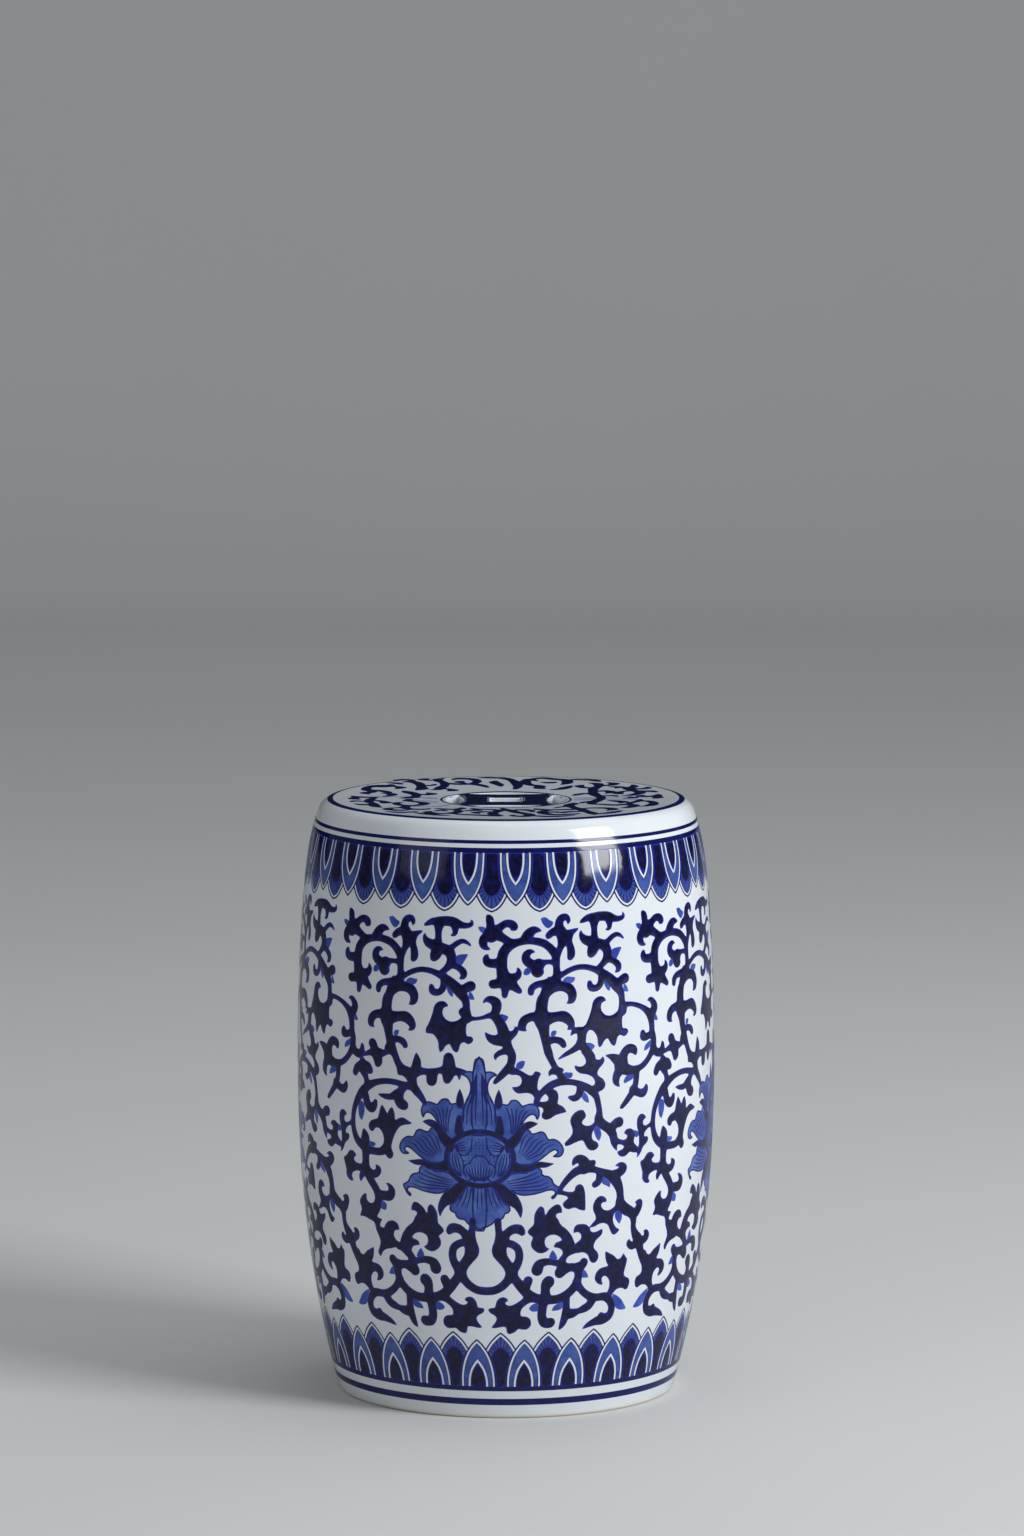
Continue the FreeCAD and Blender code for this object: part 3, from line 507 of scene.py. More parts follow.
# Guides that the fine lines lie between, from the base of each petal to its tip, and how many lines
LOTUS_VEINS = (
    (((0.4, 225.5), (0.4, 240), (0.4, 252), (0.4, 268)), ((10.2, 227), (9.2, 238), (4.6, 250),
     (2.8, 262)), 3),
    (((7.4, 244), (4.6, 254), (5.6, 261), (9.6, 264)), ((9.4, 243), (6.2, 253), (8.2, 260.6),
     (11.4, 263.6)), 1),
    (((22, 219.4), (21.5, 229), (18.6, 237.7), (15.4, 240.6)), ((28.2, 221.3), (31, 229), (34.4, 234.8),
     (40.6, 238)), 5),
    (((28.2, 205.8), (29.2, 213.6), (31, 218), (34, 221)), ((34.9, 200), (46.3, 203.9), (51.1, 208.7),
     (58.3, 211)), 6),
    (((18.6, 184.6), (28, 186.9), (37, 190), (43, 193.3)), ((22.5, 177), (32.4, 176.3), (45.4, 176.4),
     (56, 179.6)), 5),
    (((-0.8, 179), (-0.8, 173), (-0.8, 168), (-0.8, 160)), ((12, 179), (13.6, 173.5), (16, 169),
     (20, 164)), 5),
    # the shell in the middle of the heart, and the petals on its side and over it
    (((-0.8, 184.4), (-0.8, 188), (-0.8, 193), (-0.8, 199.6)), ((5.6, 185.3), (8, 188.4), (9.8, 191),
     (10.6, 194)), 5),
    (((12.4, 187), (12.4, 192), (13.4, 198), (16.6, 206.5)), ((16.4, 188.5), (20.2, 193), (23, 199),
     (20.8, 208)), 4),
    (((10.2, 214.5), (12.6, 213.8), (15, 212.8), (18, 211)), ((9, 206.6), (12, 205.8), (14.5, 206),
     (17.4, 208.4)), 4),
)
LOTUS_HEART = ((-0.5, 201.0), (23.3, 18.3), (27.0, 22.4))
HEART_EDGES = (
    ((-0.8, 203.3), (2.6, 202.6), (5, 200.4), (6.3, 197.2)),
    ((6.3, 197.2), (8.6, 196.9), (10.6, 195), (11, 191.6), (9.4, 187)),
    ((11.4, 190), (11.4, 198), (14, 204), (19, 210.8)),
    ((4.6, 216.5), (5, 211), (6.4, 206.6), (10, 203.2), (13.6, 204.2)),
)
heart_dot_spacing = 2.7
heart_dot_row_share = 0.86
heart_dot_width, heart_dot_length = 1.3, 0.1
heart_dots_inset = (4.0, 3.0)
heart_dots_reach = (1.0, 10.0)
heart_shell_level, heart_shell_radii = 196.0, (7.6, 8.4)
heart_ring_spare = 0.6
vein_width = 1.0
vein_taper = (0.7, 1.0, 1.0, 0.45)
petal_edge_width = 1.15

# A band of petals: the front petal's outer and inner outlines, and the petal behind it and its tongue,
# each as half widths and heights from the line that they stand on
TOP_BORDER = {
    "petals": 27, "middle": 2.7, "line": 427.0,
    "front": ((12.15, 0), (12, 9), (10.8, 19), (7.6, 28), (3.6, 34)), "front_tip": 37.4,
    "inner": ((7.2, 0), (6.9, 8), (5.4, 15), (2.8, 20.2)), "inner_tip": 23.6,
    "back": ((16, 0), (15, 17), (12, 28), (8.4, 35.4), (4.3, 40)), "back_tip": 42.0,
    "tongue": ((8, 0), (8, 20), (6.2, 26.6), (3.4, 30.4)), "tongue_tip": 31.8,
    "outer_white": 1.3, "inner_white": 1.5,
}
FOOT_BORDER = {
    "petals": 25, "middle": 5.6, "line": 24.6,
    "front": ((14.5, 0), (14.1, 9), (12.1, 18.5), (8.5, 27), (4, 33.2)), "front_tip": 36.9,
    "inner": ((8.7, 0), (8.1, 7.5), (6.1, 14), (3, 18.9)), "inner_tip": 22.4,
    "back": ((18, 0), (16.8, 14), (13.8, 25.6), (8.8, 34.2), (4, 39.3)), "back_tip": 42.5,
    "tongue": ((10, 0), (9.6, 18), (7, 26.4), (3.8, 30.6)), "tongue_tip": 32.2,
    "outer_white": 1.5, "inner_white": 1.7,
}
border_outline_width = 1.2
border_ray_width = 0.7
border_ray_count = 9
border_ray_spread = math.radians(68)
border_ray_reaches = (3.0, 12.0, 22.0)
border_ray_root = 7.0
border_root = 3.0
border_tip_margin, border_line_margin = 3.0, 1.0
tongue_overlap = 0.3

# Painted lines round the stool, as the levels of their edges
WALL_LINES = ((10.7, 15.7), (21.8, 25.4), (427.0, 430.5), (433.5, 436.0))
seat_line = (130.6, 134.8)
coin_line = (48.0, 49.7)
coin_paint_reach = (45.6, 49.0)
opening_white_rim = 0.1

# The scroll on the seat in plan, from the coin's middle: x to the right, y to the back, the brush's width
SEAT_STROKES = (
    # left
    ((-94, 76, 3), (-100, 71, 6), (-106, 60, 5), (-106, 48, 6), (-101, 38, 5), (-107, 29, 6), (-104, 23, 2)),
    ((-88, 80, 3), (-89, 72, 6), (-95, 66, 4), (-101, 66, 2)),
    ((-105, 47, 4), (-96, 46, 4), (-91, 38, 6), (-88, 34, 2)),
    ((-79, 94, 2), (-73, 98, 6), (-67, 88, 6), (-65, 73, 5), (-64, 60, 7), (-68, 51, 2)),
    ((-65, 75, 4), (-57, 79, 4), (-54, 86, 2)),
    ((-78, 46, 2), (-74, 38, 7), (-69, 28, 6), (-68, 17, 5), (-72, 8, 7), (-80, 3, 2)),
    ((-67, 30, 3), (-61, 27, 5), (-56, 32, 6), (-60, 38, 2)),
    ((-116, 10, 2), (-112, 5, 6), (-103, 4, 5), (-96, 8, 2)),
    ((-113, 3, 4), (-115, -6, 6), (-110, -10, 2)),
    ((-98, 3, 2), (-102, -8, 5), (-103, -23, 5), (-99, -36, 5), (-98, -50, 6), (-93, -58, 2)),
    ((-102, -12, 4), (-94, -17, 5), (-90, -26, 6), (-93, -31, 2)),
    ((-99, -38, 4), (-107, -42, 6), (-113, -37, 2)),
    ((-72, -2, 3), (-74, -11, 6), (-66, -18, 5), (-61, -27, 6), (-65, -38, 5), (-74, -43, 6), (-81, -36, 5),
     (-82, -26, 4), (-77, -21, 2)),
    ((-73, -44, 4), (-76, -55, 6), (-71, -65, 6), (-61, -65, 5), (-57, -59, 2)),
    ((-77, -56, 3), (-86, -61, 4), (-88, -69, 6), (-80, -74, 6), (-72, -70, 2)),
    ((-92, 12, 3), (-86, 20, 5), (-88, 28, 6), (-94, 30, 2)),
    ((-84, 56, 2), (-80, 64, 6), (-84, 70, 4)),
    ((-91, 90, 2), (-84, 88, 6), (-80, 82, 2)),
    ((-107, -22, 3), (-113, -20, 5), (-116, -26, 2)),
    ((-89, -83, 2), (-80, -88, 6), (-72, -86, 5), (-66, -80, 2)),
    # front
    ((-33, -50, 2), (-33, -56, 5), (-38, -63, 5), (-46, -62, 6), (-53, -57, 2)),
    ((-38, -63, 4), (-35, -76, 5), (-40, -89, 6), (-50, -92, 5), (-58, -85, 6), (-56, -78, 2)),
    ((-41, -90, 4), (-34, -97, 5), (-24, -101, 6), (-12, -105, 6), (-4, -110, 2)),
    ((-25, -54, 2), (-22, -60, 6), (-12, -62, 5), (-5, -68, 6), (-8, -81, 5), (-10, -93, 6), (-5, -104, 5)),
    ((-8, -80, 4), (-17, -79, 6), (-23, -85, 5), (-20, -92, 2)),
    ((-3, -53, 3), (2, -67, 5), (8, -82, 6), (17, -97, 6), (15, -110, 6), (6, -107, 5), (5, -100, 2)),
    ((4, -70, 4), (12, -64, 6), (18, -70, 5), (20, -80, 2)),
    ((51, -21, 2), (50, -28, 6), (47, -39, 6), (51, -53, 5), (56, -66, 6), (60, -80, 5), (64, -92, 6),
     (66, -102, 2)),
    ((48, -40, 4), (41, -47, 4), (36, -54, 2)),
    ((55, -64, 5), (45, -65, 6), (34, -66, 5), (25, -62, 6), (22, -56, 2)),
    ((34, -66, 5), (27, -77, 5), (28, -90, 6), (36, -100, 6), (47, -99, 6), (54, -92, 2)),
    ((59, -80, 4), (51, -79, 5), (44, -83, 6), (43, -89, 2)),
    ((55, -60, 3), (66, -57, 5), (76, -60, 6), (80, -69, 6), (75, -76, 2)),
    ((-67, -89, 2), (-60, -96, 6), (-50, -103, 6), (-42, -107, 2)),
    ((-30, -73, 3), (-24, -69, 6), (-18, -72, 2)),
    ((-52, -75, 3), (-48, -71, 5), (-44, -76, 2)),
    ((20, -105, 3), (28, -111, 6), (38, -112, 6), (50, -107, 2)),
    ((30, -84, 3), (36, -81, 6), (40, -87, 2)),
    ((64, -97, 4), (72, -95, 5), (80, -87, 6), (86, -77, 2)),
    # right
    ((67, -34, 3), (64, -27, 5), (69, -8, 6), (72, 8, 5), (67, 28, 6), (66, 44, 5), (67, 60, 6), (71, 74, 5),
     (70, 86, 6), (64, 92, 2)),
    ((68, 30, 5), (60, 33, 5), (54, 28, 5), (52, 23, 2)),
    ((67, 44, 5), (76, 46, 5), (80, 38, 6), (76, 31, 2)),
    ((71, 74, 4), (80, 78, 5), (83, 86, 6), (78, 93, 2)),
    ((68, 63, 4), (59, 67, 5), (56, 76, 5), (59, 81, 2)),
    ((97, 78, 2), (98, 68, 5), (93, 57, 6), (98, 43, 5), (102, 31, 6), (95, 20, 5), (88, 17, 2)),
    ((97, 45, 4), (88, 40, 4), (85, 31, 6), (88, 26, 2)),
    ((94, 57, 4), (103, 54, 5), (108, 58, 5), (108, 64, 2)),
    ((115, 21, 2), (114, 12, 6), (106, 8, 5), (102, 12, 6), (103, 18, 2)),
    ((113, 12, 4), (115, 1, 6), (111, -4, 2)),
    ((67, -12, 4), (60, -17, 5), (56, -24, 2)),
    ((65, -30, 4), (73, -35, 5), (82, -40, 6), (91, -38, 6), (96, -45, 6), (92, -56, 6), (86, -60, 2)),
    ((91, -38, 4), (94, -28, 4), (100, -17, 5), (101, -7, 2)),
    ((100, -17, 4), (107, -20, 5), (111, -32, 5), (108, -46, 6), (101, -53, 2)),
    ((78, -11, 3), (84, -16, 6), (88, -22, 6), (86, -29, 2)),
    ((102, 42, 4), (110, 39, 6), (114, 33, 2)),
    ((84, 60, 2), (87, 66, 6), (81, 69, 4)),
    ((72, 17, 4), (81, 18, 5), (84, 12, 2)),
    ((89, 0, 2), (96, 3, 6), (93, 8, 2)),
    # back
    ((-48, 118, 2), (-53, 109, 6), (-48, 94, 5), (-47, 79, 5), (-50, 67, 6), (-52, 57, 5), (-58, 54, 2)),
    ((-50, 64, 4), (-44, 60, 4), (-40, 54, 6), (-44, 49, 2)),
    ((-47, 92, 4), (-37, 87, 6), (-26, 88, 6), (-18, 80, 5), (-14, 70, 2)),
    ((-26, 88, 5), (-22, 102, 5), (-26, 114, 6), (-36, 117, 6), (-41, 110, 2)),
    ((-8, 106, 2), (-9, 97, 6), (-5, 85, 5), (-4, 76, 2)),
    ((-12, 122, 2), (-3, 121, 6), (4, 110, 5), (8, 92, 6), (9, 75, 5), (7, 62, 3)),
    ((24, 104, 2), (18, 114, 5), (15, 100, 6), (18, 85, 5), (26, 77, 6), (25, 67, 6), (30, 62, 2)),
    ((19, 114, 4), (28, 120, 6), (37, 114, 6), (46, 108, 6), (47, 93, 6), (43, 84, 2)),
    ((46, 108, 4), (55, 111, 5), (61, 106, 2)),
    ((50, 77, 2), (46, 68, 6), (41, 60, 6), (34, 57, 2)),
    ((-86, 104, 2), (-78, 108, 6), (-70, 103, 2)),
    ((-58, 106, 3), (-64, 110, 6), (-60, 116, 2)),
    ((-34, 103, 3), (-36, 98, 6), (-32, 94, 2)),
    ((28, 97, 3), (34, 95, 6), (38, 99, 2)),
    ((61, 112, 2), (68, 105, 6), (72, 98, 2)),
    ((-22, 121, 2), (-13, 123, 6), (-4, 120, 4)),
)
SEAT_VEINS = (
    ((-52, 8), (-66, 13), (-84, 11), (-98, 4)),
    ((-52, 3), (-62, 5), (-70, 11)),
    ((-52, -12), (-62, -9), (-76, 0)),
    ((-51, -20), (-62, -17), (-74, -10)),
    ((52, 2), (66, 3), (86, 6), (100, 20)),
    ((52, -4), (68, -3), (84, -6), (99, -8)),
    ((52, 9), (62, 10), (72, 8)),
    ((44, -30), (58, -20), (68, -8)),
    ((-42, -32), (-52, -46), (-70, -50)),
)
seat_vein_width = 2.2
seat_stroke_share = 1.45
seat_scroll_reach = 127.0

# How high each layer of paint stands, as shares of the paint's relief: at its rim, and how much more inside
PAINT_LAYERS = {
    "wash": (0.15, 0.2),
    "bud": (0.2, 0.4),
    "dark": (0.35, 0.65),
    "line": (0.55, 0.3),
    "sepal": (0.6, 0.6),
}
ring_edge_share = 0.5


def moved(point, angle, distance):
    """A point moved along a direction in the section plane."""
    return (point[0] + distance * math.cos(angle), point[1] + distance * math.sin(angle))


def angle_at(centre, radius, level):
    """The angle on a circle of the section at a level."""
    return math.asin((level - centre[1]) / radius)


belly_centre = (belly_radius - belly_arc_radius, belly_level)
lower_angle = angle_at(belly_centre, belly_arc_radius, lower_arc_top)
upper_angle = angle_at(belly_centre, belly_arc_radius, stool_height - upper_arc_depth)
lower_centre = moved(belly_centre, lower_angle, belly_arc_radius - lower_arc_radius)
upper_centre = moved(belly_centre, upper_angle, belly_arc_radius - upper_arc_radius)
neck_angle = angle_at(upper_centre, upper_arc_radius, stool_height - neck_arc_depth)
neck_centre = moved(upper_centre, neck_angle, upper_arc_radius - neck_arc_radius)
OUTLINE = (
    (lower_centre, lower_arc_radius, -QUARTER_TURN, lower_angle),
    (belly_centre, belly_arc_radius, lower_angle, upper_angle),
    (upper_centre, upper_arc_radius, upper_angle, neck_angle),
    (neck_centre, neck_arc_radius, neck_angle, QUARTER_TURN),
)


def wall_radius(level, depth=0.0):
    """The radius of the drum's wall at a level, at a depth under its outer face."""
    for centre, radius, first, last in OUTLINE:
        arc_radius = radius - depth
        if level <= centre[1] + arc_radius * math.sin(last):
            return centre[0] + arc_radius * math.cos(angle_at(centre, arc_radius, level))
    raise ValueError("no outline at level %s" % level)


def rounding_centre(wall_centre, wall_arc, level, radius, upwards):
    """The centre of a rounding inside a wall's arc that is tangent to it and to a level."""
    centre_level = level - radius if upwards else level + radius
    reach = wall_arc - radius
    out = math.sqrt(reach ** 2 - (centre_level - wall_centre[1]) ** 2)
    return (wall_centre[0] + out, centre_level)


shoulder_centre = rounding_centre(neck_centre, neck_arc_radius, stool_height, shoulder_radius, True)
shoulder_angle = math.atan2(shoulder_centre[1] - neck_centre[1], shoulder_centre[0] - neck_centre[0])
crest_radius = shoulder_centre[0]
foot_centre = rounding_centre(lower_centre, lower_arc_radius, 0.0, foot_edge_radius, False)
foot_angle = math.atan2(foot_centre[1] - lower_centre[1], foot_centre[0] - lower_centre[0])
foot_bore_radius = wall_radius(foot_seam_level, foot_wall)
seat_underside = stool_height - seat_thickness
seat_ledge_level = stool_height - seat_rabbet_depth
seat_boss_radius = crest_radius - seat_rabbet_width
shoulder_seam_level = seat_underside - shoulder_lap_cover - lap_height - slip_thickness
disc_radius = crest_radius - slip_thickness


def seat_top_level(radius):
    """The height of the shallow dish in the seat at a radius."""
    slope = seat_dish_depth / (crest_radius - coin_field_radius)
    return stool_height - slope * (crest_radius - max(radius, coin_field_radius))


def arc(centre, radius, first, last):
    """The points of an arc of the section from one angle to another."""
    steps = max(2, math.ceil(abs(last - first) * radius / ARC_STEP))
    if radius < foot_edge_radius + shoulder_radius:
        steps = max(steps, math.ceil(abs(last - first) / ROUNDING_STEP))
    return [moved(centre, first + (last - first) * step / steps, radius) for step in range(steps + 1)]


def wall_points(low, high, depth=0.0):
    """The drum's wall between two levels, from the low end to the high end."""
    points = []
    for centre, radius, first, last in OUTLINE:
        arc_radius = radius - depth
        bottom = max(low, centre[1] + arc_radius * math.sin(first))
        top = min(high, centre[1] + arc_radius * math.sin(last))
        if top - bottom > LEAST_EDGE:
            points += arc(centre, arc_radius, angle_at(centre, arc_radius, bottom),
                          angle_at(centre, arc_radius, top))
    return points


def lap_lip(seam):
    """The top of the section under a seam, from its inner face to its outer face."""
    lip_face = wall_radius(seam, body_wall / 2) - slip_thickness / 2
    lip_top = seam + lap_height
    return [(wall_radius(lip_top, body_wall), lip_top), (lip_face, lip_top),
            (lip_face, seam), (wall_radius(seam), seam)]


def lap_skirt(seam):
    """The bottom of the section over a seam, from its outer face to its inner face."""
    skirt_face = wall_radius(seam, body_wall / 2) + slip_thickness / 2
    skirt_bottom = seam + slip_thickness
    inner_bottom = skirt_bottom + lap_height
    return [(wall_radius(skirt_bottom), skirt_bottom), (skirt_face, skirt_bottom),
            (skirt_face, inner_bottom), (wall_radius(inner_bottom, body_wall), inner_bottom)]


def barrel_section(lower_seam, upper_seam):
    """The closed section of one part of the drum's wall between two seams."""
    skirt, lip = lap_skirt(lower_seam), lap_lip(upper_seam)
    outside = wall_points(skirt[0][1], upper_seam)
    inside = wall_points(skirt[-1][1], lip[0][1], body_wall)
    return outside + lip[::-1] + inside[::-1] + skirt[::-1]


def foot_section():
    """The closed section of the foot ring, with its rounded rim."""
    lip = lap_lip(foot_seam_level)
    corner = (foot_bore_radius + foot_inner_radius, foot_inner_radius)
    outside = wall_points(foot_centre[1] + foot_edge_radius * math.sin(foot_angle), foot_seam_level)
    rim = arc(foot_centre, foot_edge_radius, -QUARTER_TURN, foot_angle)
    bore = arc(corner, foot_inner_radius, -math.pi, -QUARTER_TURN)
    return rim + outside + lip[::-1] + [(foot_bore_radius, lip[0][1])] + bore


def shoulder_section():
    """The closed section of the rounded shoulder, with the rabbet for the seat."""
    skirt = lap_skirt(shoulder_seam_level)
    roll_start = shoulder_centre[1] + shoulder_radius * math.sin(shoulder_angle)
    outside = wall_points(skirt[0][1], roll_start)
    roll = arc(shoulder_centre, shoulder_radius, shoulder_angle, QUARTER_TURN)
    ledge = [(crest_radius, seat_ledge_level), (seat_boss_radius, seat_ledge_level),
             (seat_boss_radius, seat_underside)]
    inside = wall_points(skirt[-1][1], seat_underside, body_wall)
    return outside + roll + ledge + inside[::-1] + skirt[::-1]


def lap_slip_section(seam):
    """The closed section of the slip in a stepped lap."""
    return lap_skirt(seam) + lap_lip(seam)


def seat_slip_section():
    """The closed section of the slip round the seat disc and under its edge."""
    disc_ledge = seat_ledge_level + slip_thickness
    boss_face = seat_boss_radius - slip_thickness
    return [(crest_radius, stool_height), (disc_radius, seat_top_level(disc_radius)),
            (disc_radius, disc_ledge), (boss_face, disc_ledge), (boss_face, seat_underside),
            (seat_boss_radius, seat_underside),
            (seat_boss_radius, seat_ledge_level), (crest_radius, seat_ledge_level)]


def coil_arc(first, crown, last):
    """The points of the circle's arc through three points of the section."""
    ax, ay = first
    bx, by = crown
    cx, cy = last
    scale = 2 * (ax * (by - cy) + bx * (cy - ay) + cx * (ay - by))
    squares = (ax * ax + ay * ay, bx * bx + by * by, cx * cx + cy * cy)
    centre = ((squares[0] * (by - cy) + squares[1] * (cy - ay) + squares[2] * (ay - by)) / scale,
              (squares[0] * (cx - bx) + squares[1] * (ax - cx) + squares[2] * (bx - ax)) / scale)
    radius = math.dist(centre, first)
    angles = [math.atan2(y - centre[1], x - centre[0]) for x, y in (first, crown, last)]
    for place in (1, 2):
        while angles[place] - angles[place - 1] > math.pi:
            angles[place] -= FULL_TURN
        while angles[place] - angles[place - 1] < -math.pi:
            angles[place] += FULL_TURN
    return [moved(centre, angles[0] + (angles[2] - angles[0]) * step / COIL_STEPS, radius)
            for step in range(COIL_STEPS + 1)]


def waist_coil_section():
    """The closed section of the coil pressed over the waist seam."""
    middle = waist_seam_level + lap_height + slip_thickness / 2
    low, high = middle - waist_coil_width / 2, middle + waist_coil_width / 2
    wall = wall_points(low, high, body_wall)
    crown = (wall_radius(middle, body_wall + waist_coil_depth), middle)
    return wall + coil_arc(wall[-1], crown, wall[0])


def seat_coil_section():
    """The closed section of the coil pressed over the seat's seam, under the seat."""
    middle = seat_boss_radius - slip_thickness / 2
    ends = [(middle + side * seat_coil_width / 2, seat_underside) for side in (-1, 1)]
    return [ends[1]] + coil_arc(ends[0], (middle, seat_underside - seat_coil_depth), ends[1])[:-1]


def without_doubles(points):
    """A section's points, with none repeated."""
    kept = []
    for point in points:
        if not kept or math.dist(point, kept[-1]) > LEAST_GAP:
            kept.append(point)
    if math.dist(kept[0], kept[-1]) <= LEAST_GAP:
        kept.pop()
    return kept


def turned(points, closed=True):
    """The vertices and faces of a section turned about the stool's axis."""
    points = without_doubles(points) if closed else points
    area = sum(a[0] * b[1] - b[0] * a[1] for a, b in zip(points, points[1:] + points[:1]))
    if closed and area < 0:
        points = points[::-1]
    count = len(points)
    angles = np.arange(TURN_STEPS) * FULL_TURN / TURN_STEPS
    section = np.array(points)
    out = [np.outer(side, section[:, 0]) for side in (np.cos(angles), np.sin(angles))]
    vertices = np.stack(out + [np.tile(section[:, 1], (TURN_STEPS, 1))], axis=2).reshape(-1, 3)
    faces = []
    for step in range(TURN_STEPS):
        here, there = step * count, (step + 1) % TURN_STEPS * count
        for place in range(count if closed else count - 1):
            after = (place + 1) % count
            faces.append((here + place, there + place, there + after, here + after))
    return vertices, faces


def piece_from(name, vertices, faces, finishes, smooth_angle=plain_smooth_angle, face_finish=None,
               depth=None):
    """A Blender object from vertices in millimetres, with smooth faces and its finishes."""
    mesh = bpy.data.meshes.new(name)
    mesh.from_pydata((np.asarray(vertices) * MM).tolist(), [], faces)
    for finish in finishes:
        mesh.materials.append(finish)
    if face_finish is not None:
        mesh.polygons.foreach_set("material_index", face_finish)
    if depth is not None:
        attribute = mesh.attributes.new("depth", "FLOAT", "POINT")
        attribute.data.foreach_set("value", np.asarray(depth, dtype=np.float32))
    mesh.shade_smooth()
    mesh.set_sharp_from_angle(angle=math.radians(smooth_angle))
    mesh.update()
    piece = bpy.data.objects.new(name, mesh)
    bpy.context.scene.collection.objects.link(piece)
    return piece


def finished(piece, slot, *nodes):
    """Puts a piece in the stool: it rides on the root, and the CAD nodes that it stands for are hidden; the
    slot is not used.
    """
    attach(piece, "root")
    if nodes:
        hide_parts(*nodes)
    return piece


def curve_through(points, closed, steps=CURVE_STEPS):
    """A smooth line through given points: an outline's point that ends in 0 is a sharp corner."""
    count = len(points)
    corner = [closed and len(point) == 3 and point[2] == 0 for point in points]
    placed = np.array([point[:2] if closed else point for point in points], dtype=float)
    line = []
    for place in range(count if closed else count - 1):
        first, last = placed[place], placed[(place + 1) % count]
        before = placed[place - 1] if closed or place > 0 else first
        after = placed[(place + 2) % count] if closed or place + 2 < count else last
        start_pull = (last - first) * corner_pull if corner[place] else (last - before) / 2
        end_pull = (last - first) * corner_pull if corner[(place + 1) % count] else (after - first) / 2
        for step in range(steps):
            t = step / steps
            line.append((2 * t ** 3 - 3 * t ** 2 + 1) * first + (t ** 3 - 2 * t ** 2 + t) * start_pull
                        + (3 * t ** 2 - 2 * t ** 3) * last + (t ** 3 - t ** 2) * end_pull)
    if not closed:
        line.append(placed[-1])
    return np.array(line)


def shifted(points, across, up=0.0):
    """Given points moved along the wall."""
    return [(point[0] + across, point[1] + up) + tuple(point[2:]) for point in points]


def mirrored(points, axis):
    """Given points as their mirror image on the other side of an upright line."""
    return [(2 * axis - point[0],) + tuple(point[1:]) for point in points]


def beside(first, last, x, y):
    """How far along a line each point of a grid lies, as a share, and its steps across and up from there."""
    run = last[:2] - first[:2]
    along = np.clip(((x - first[0]) * run[0] + (y - first[1]) * run[1]) / max(run @ run, LEAST_RUN), 0, 1)
    return along, x - first[0] - along * run[0], y - first[1] - along * run[1]


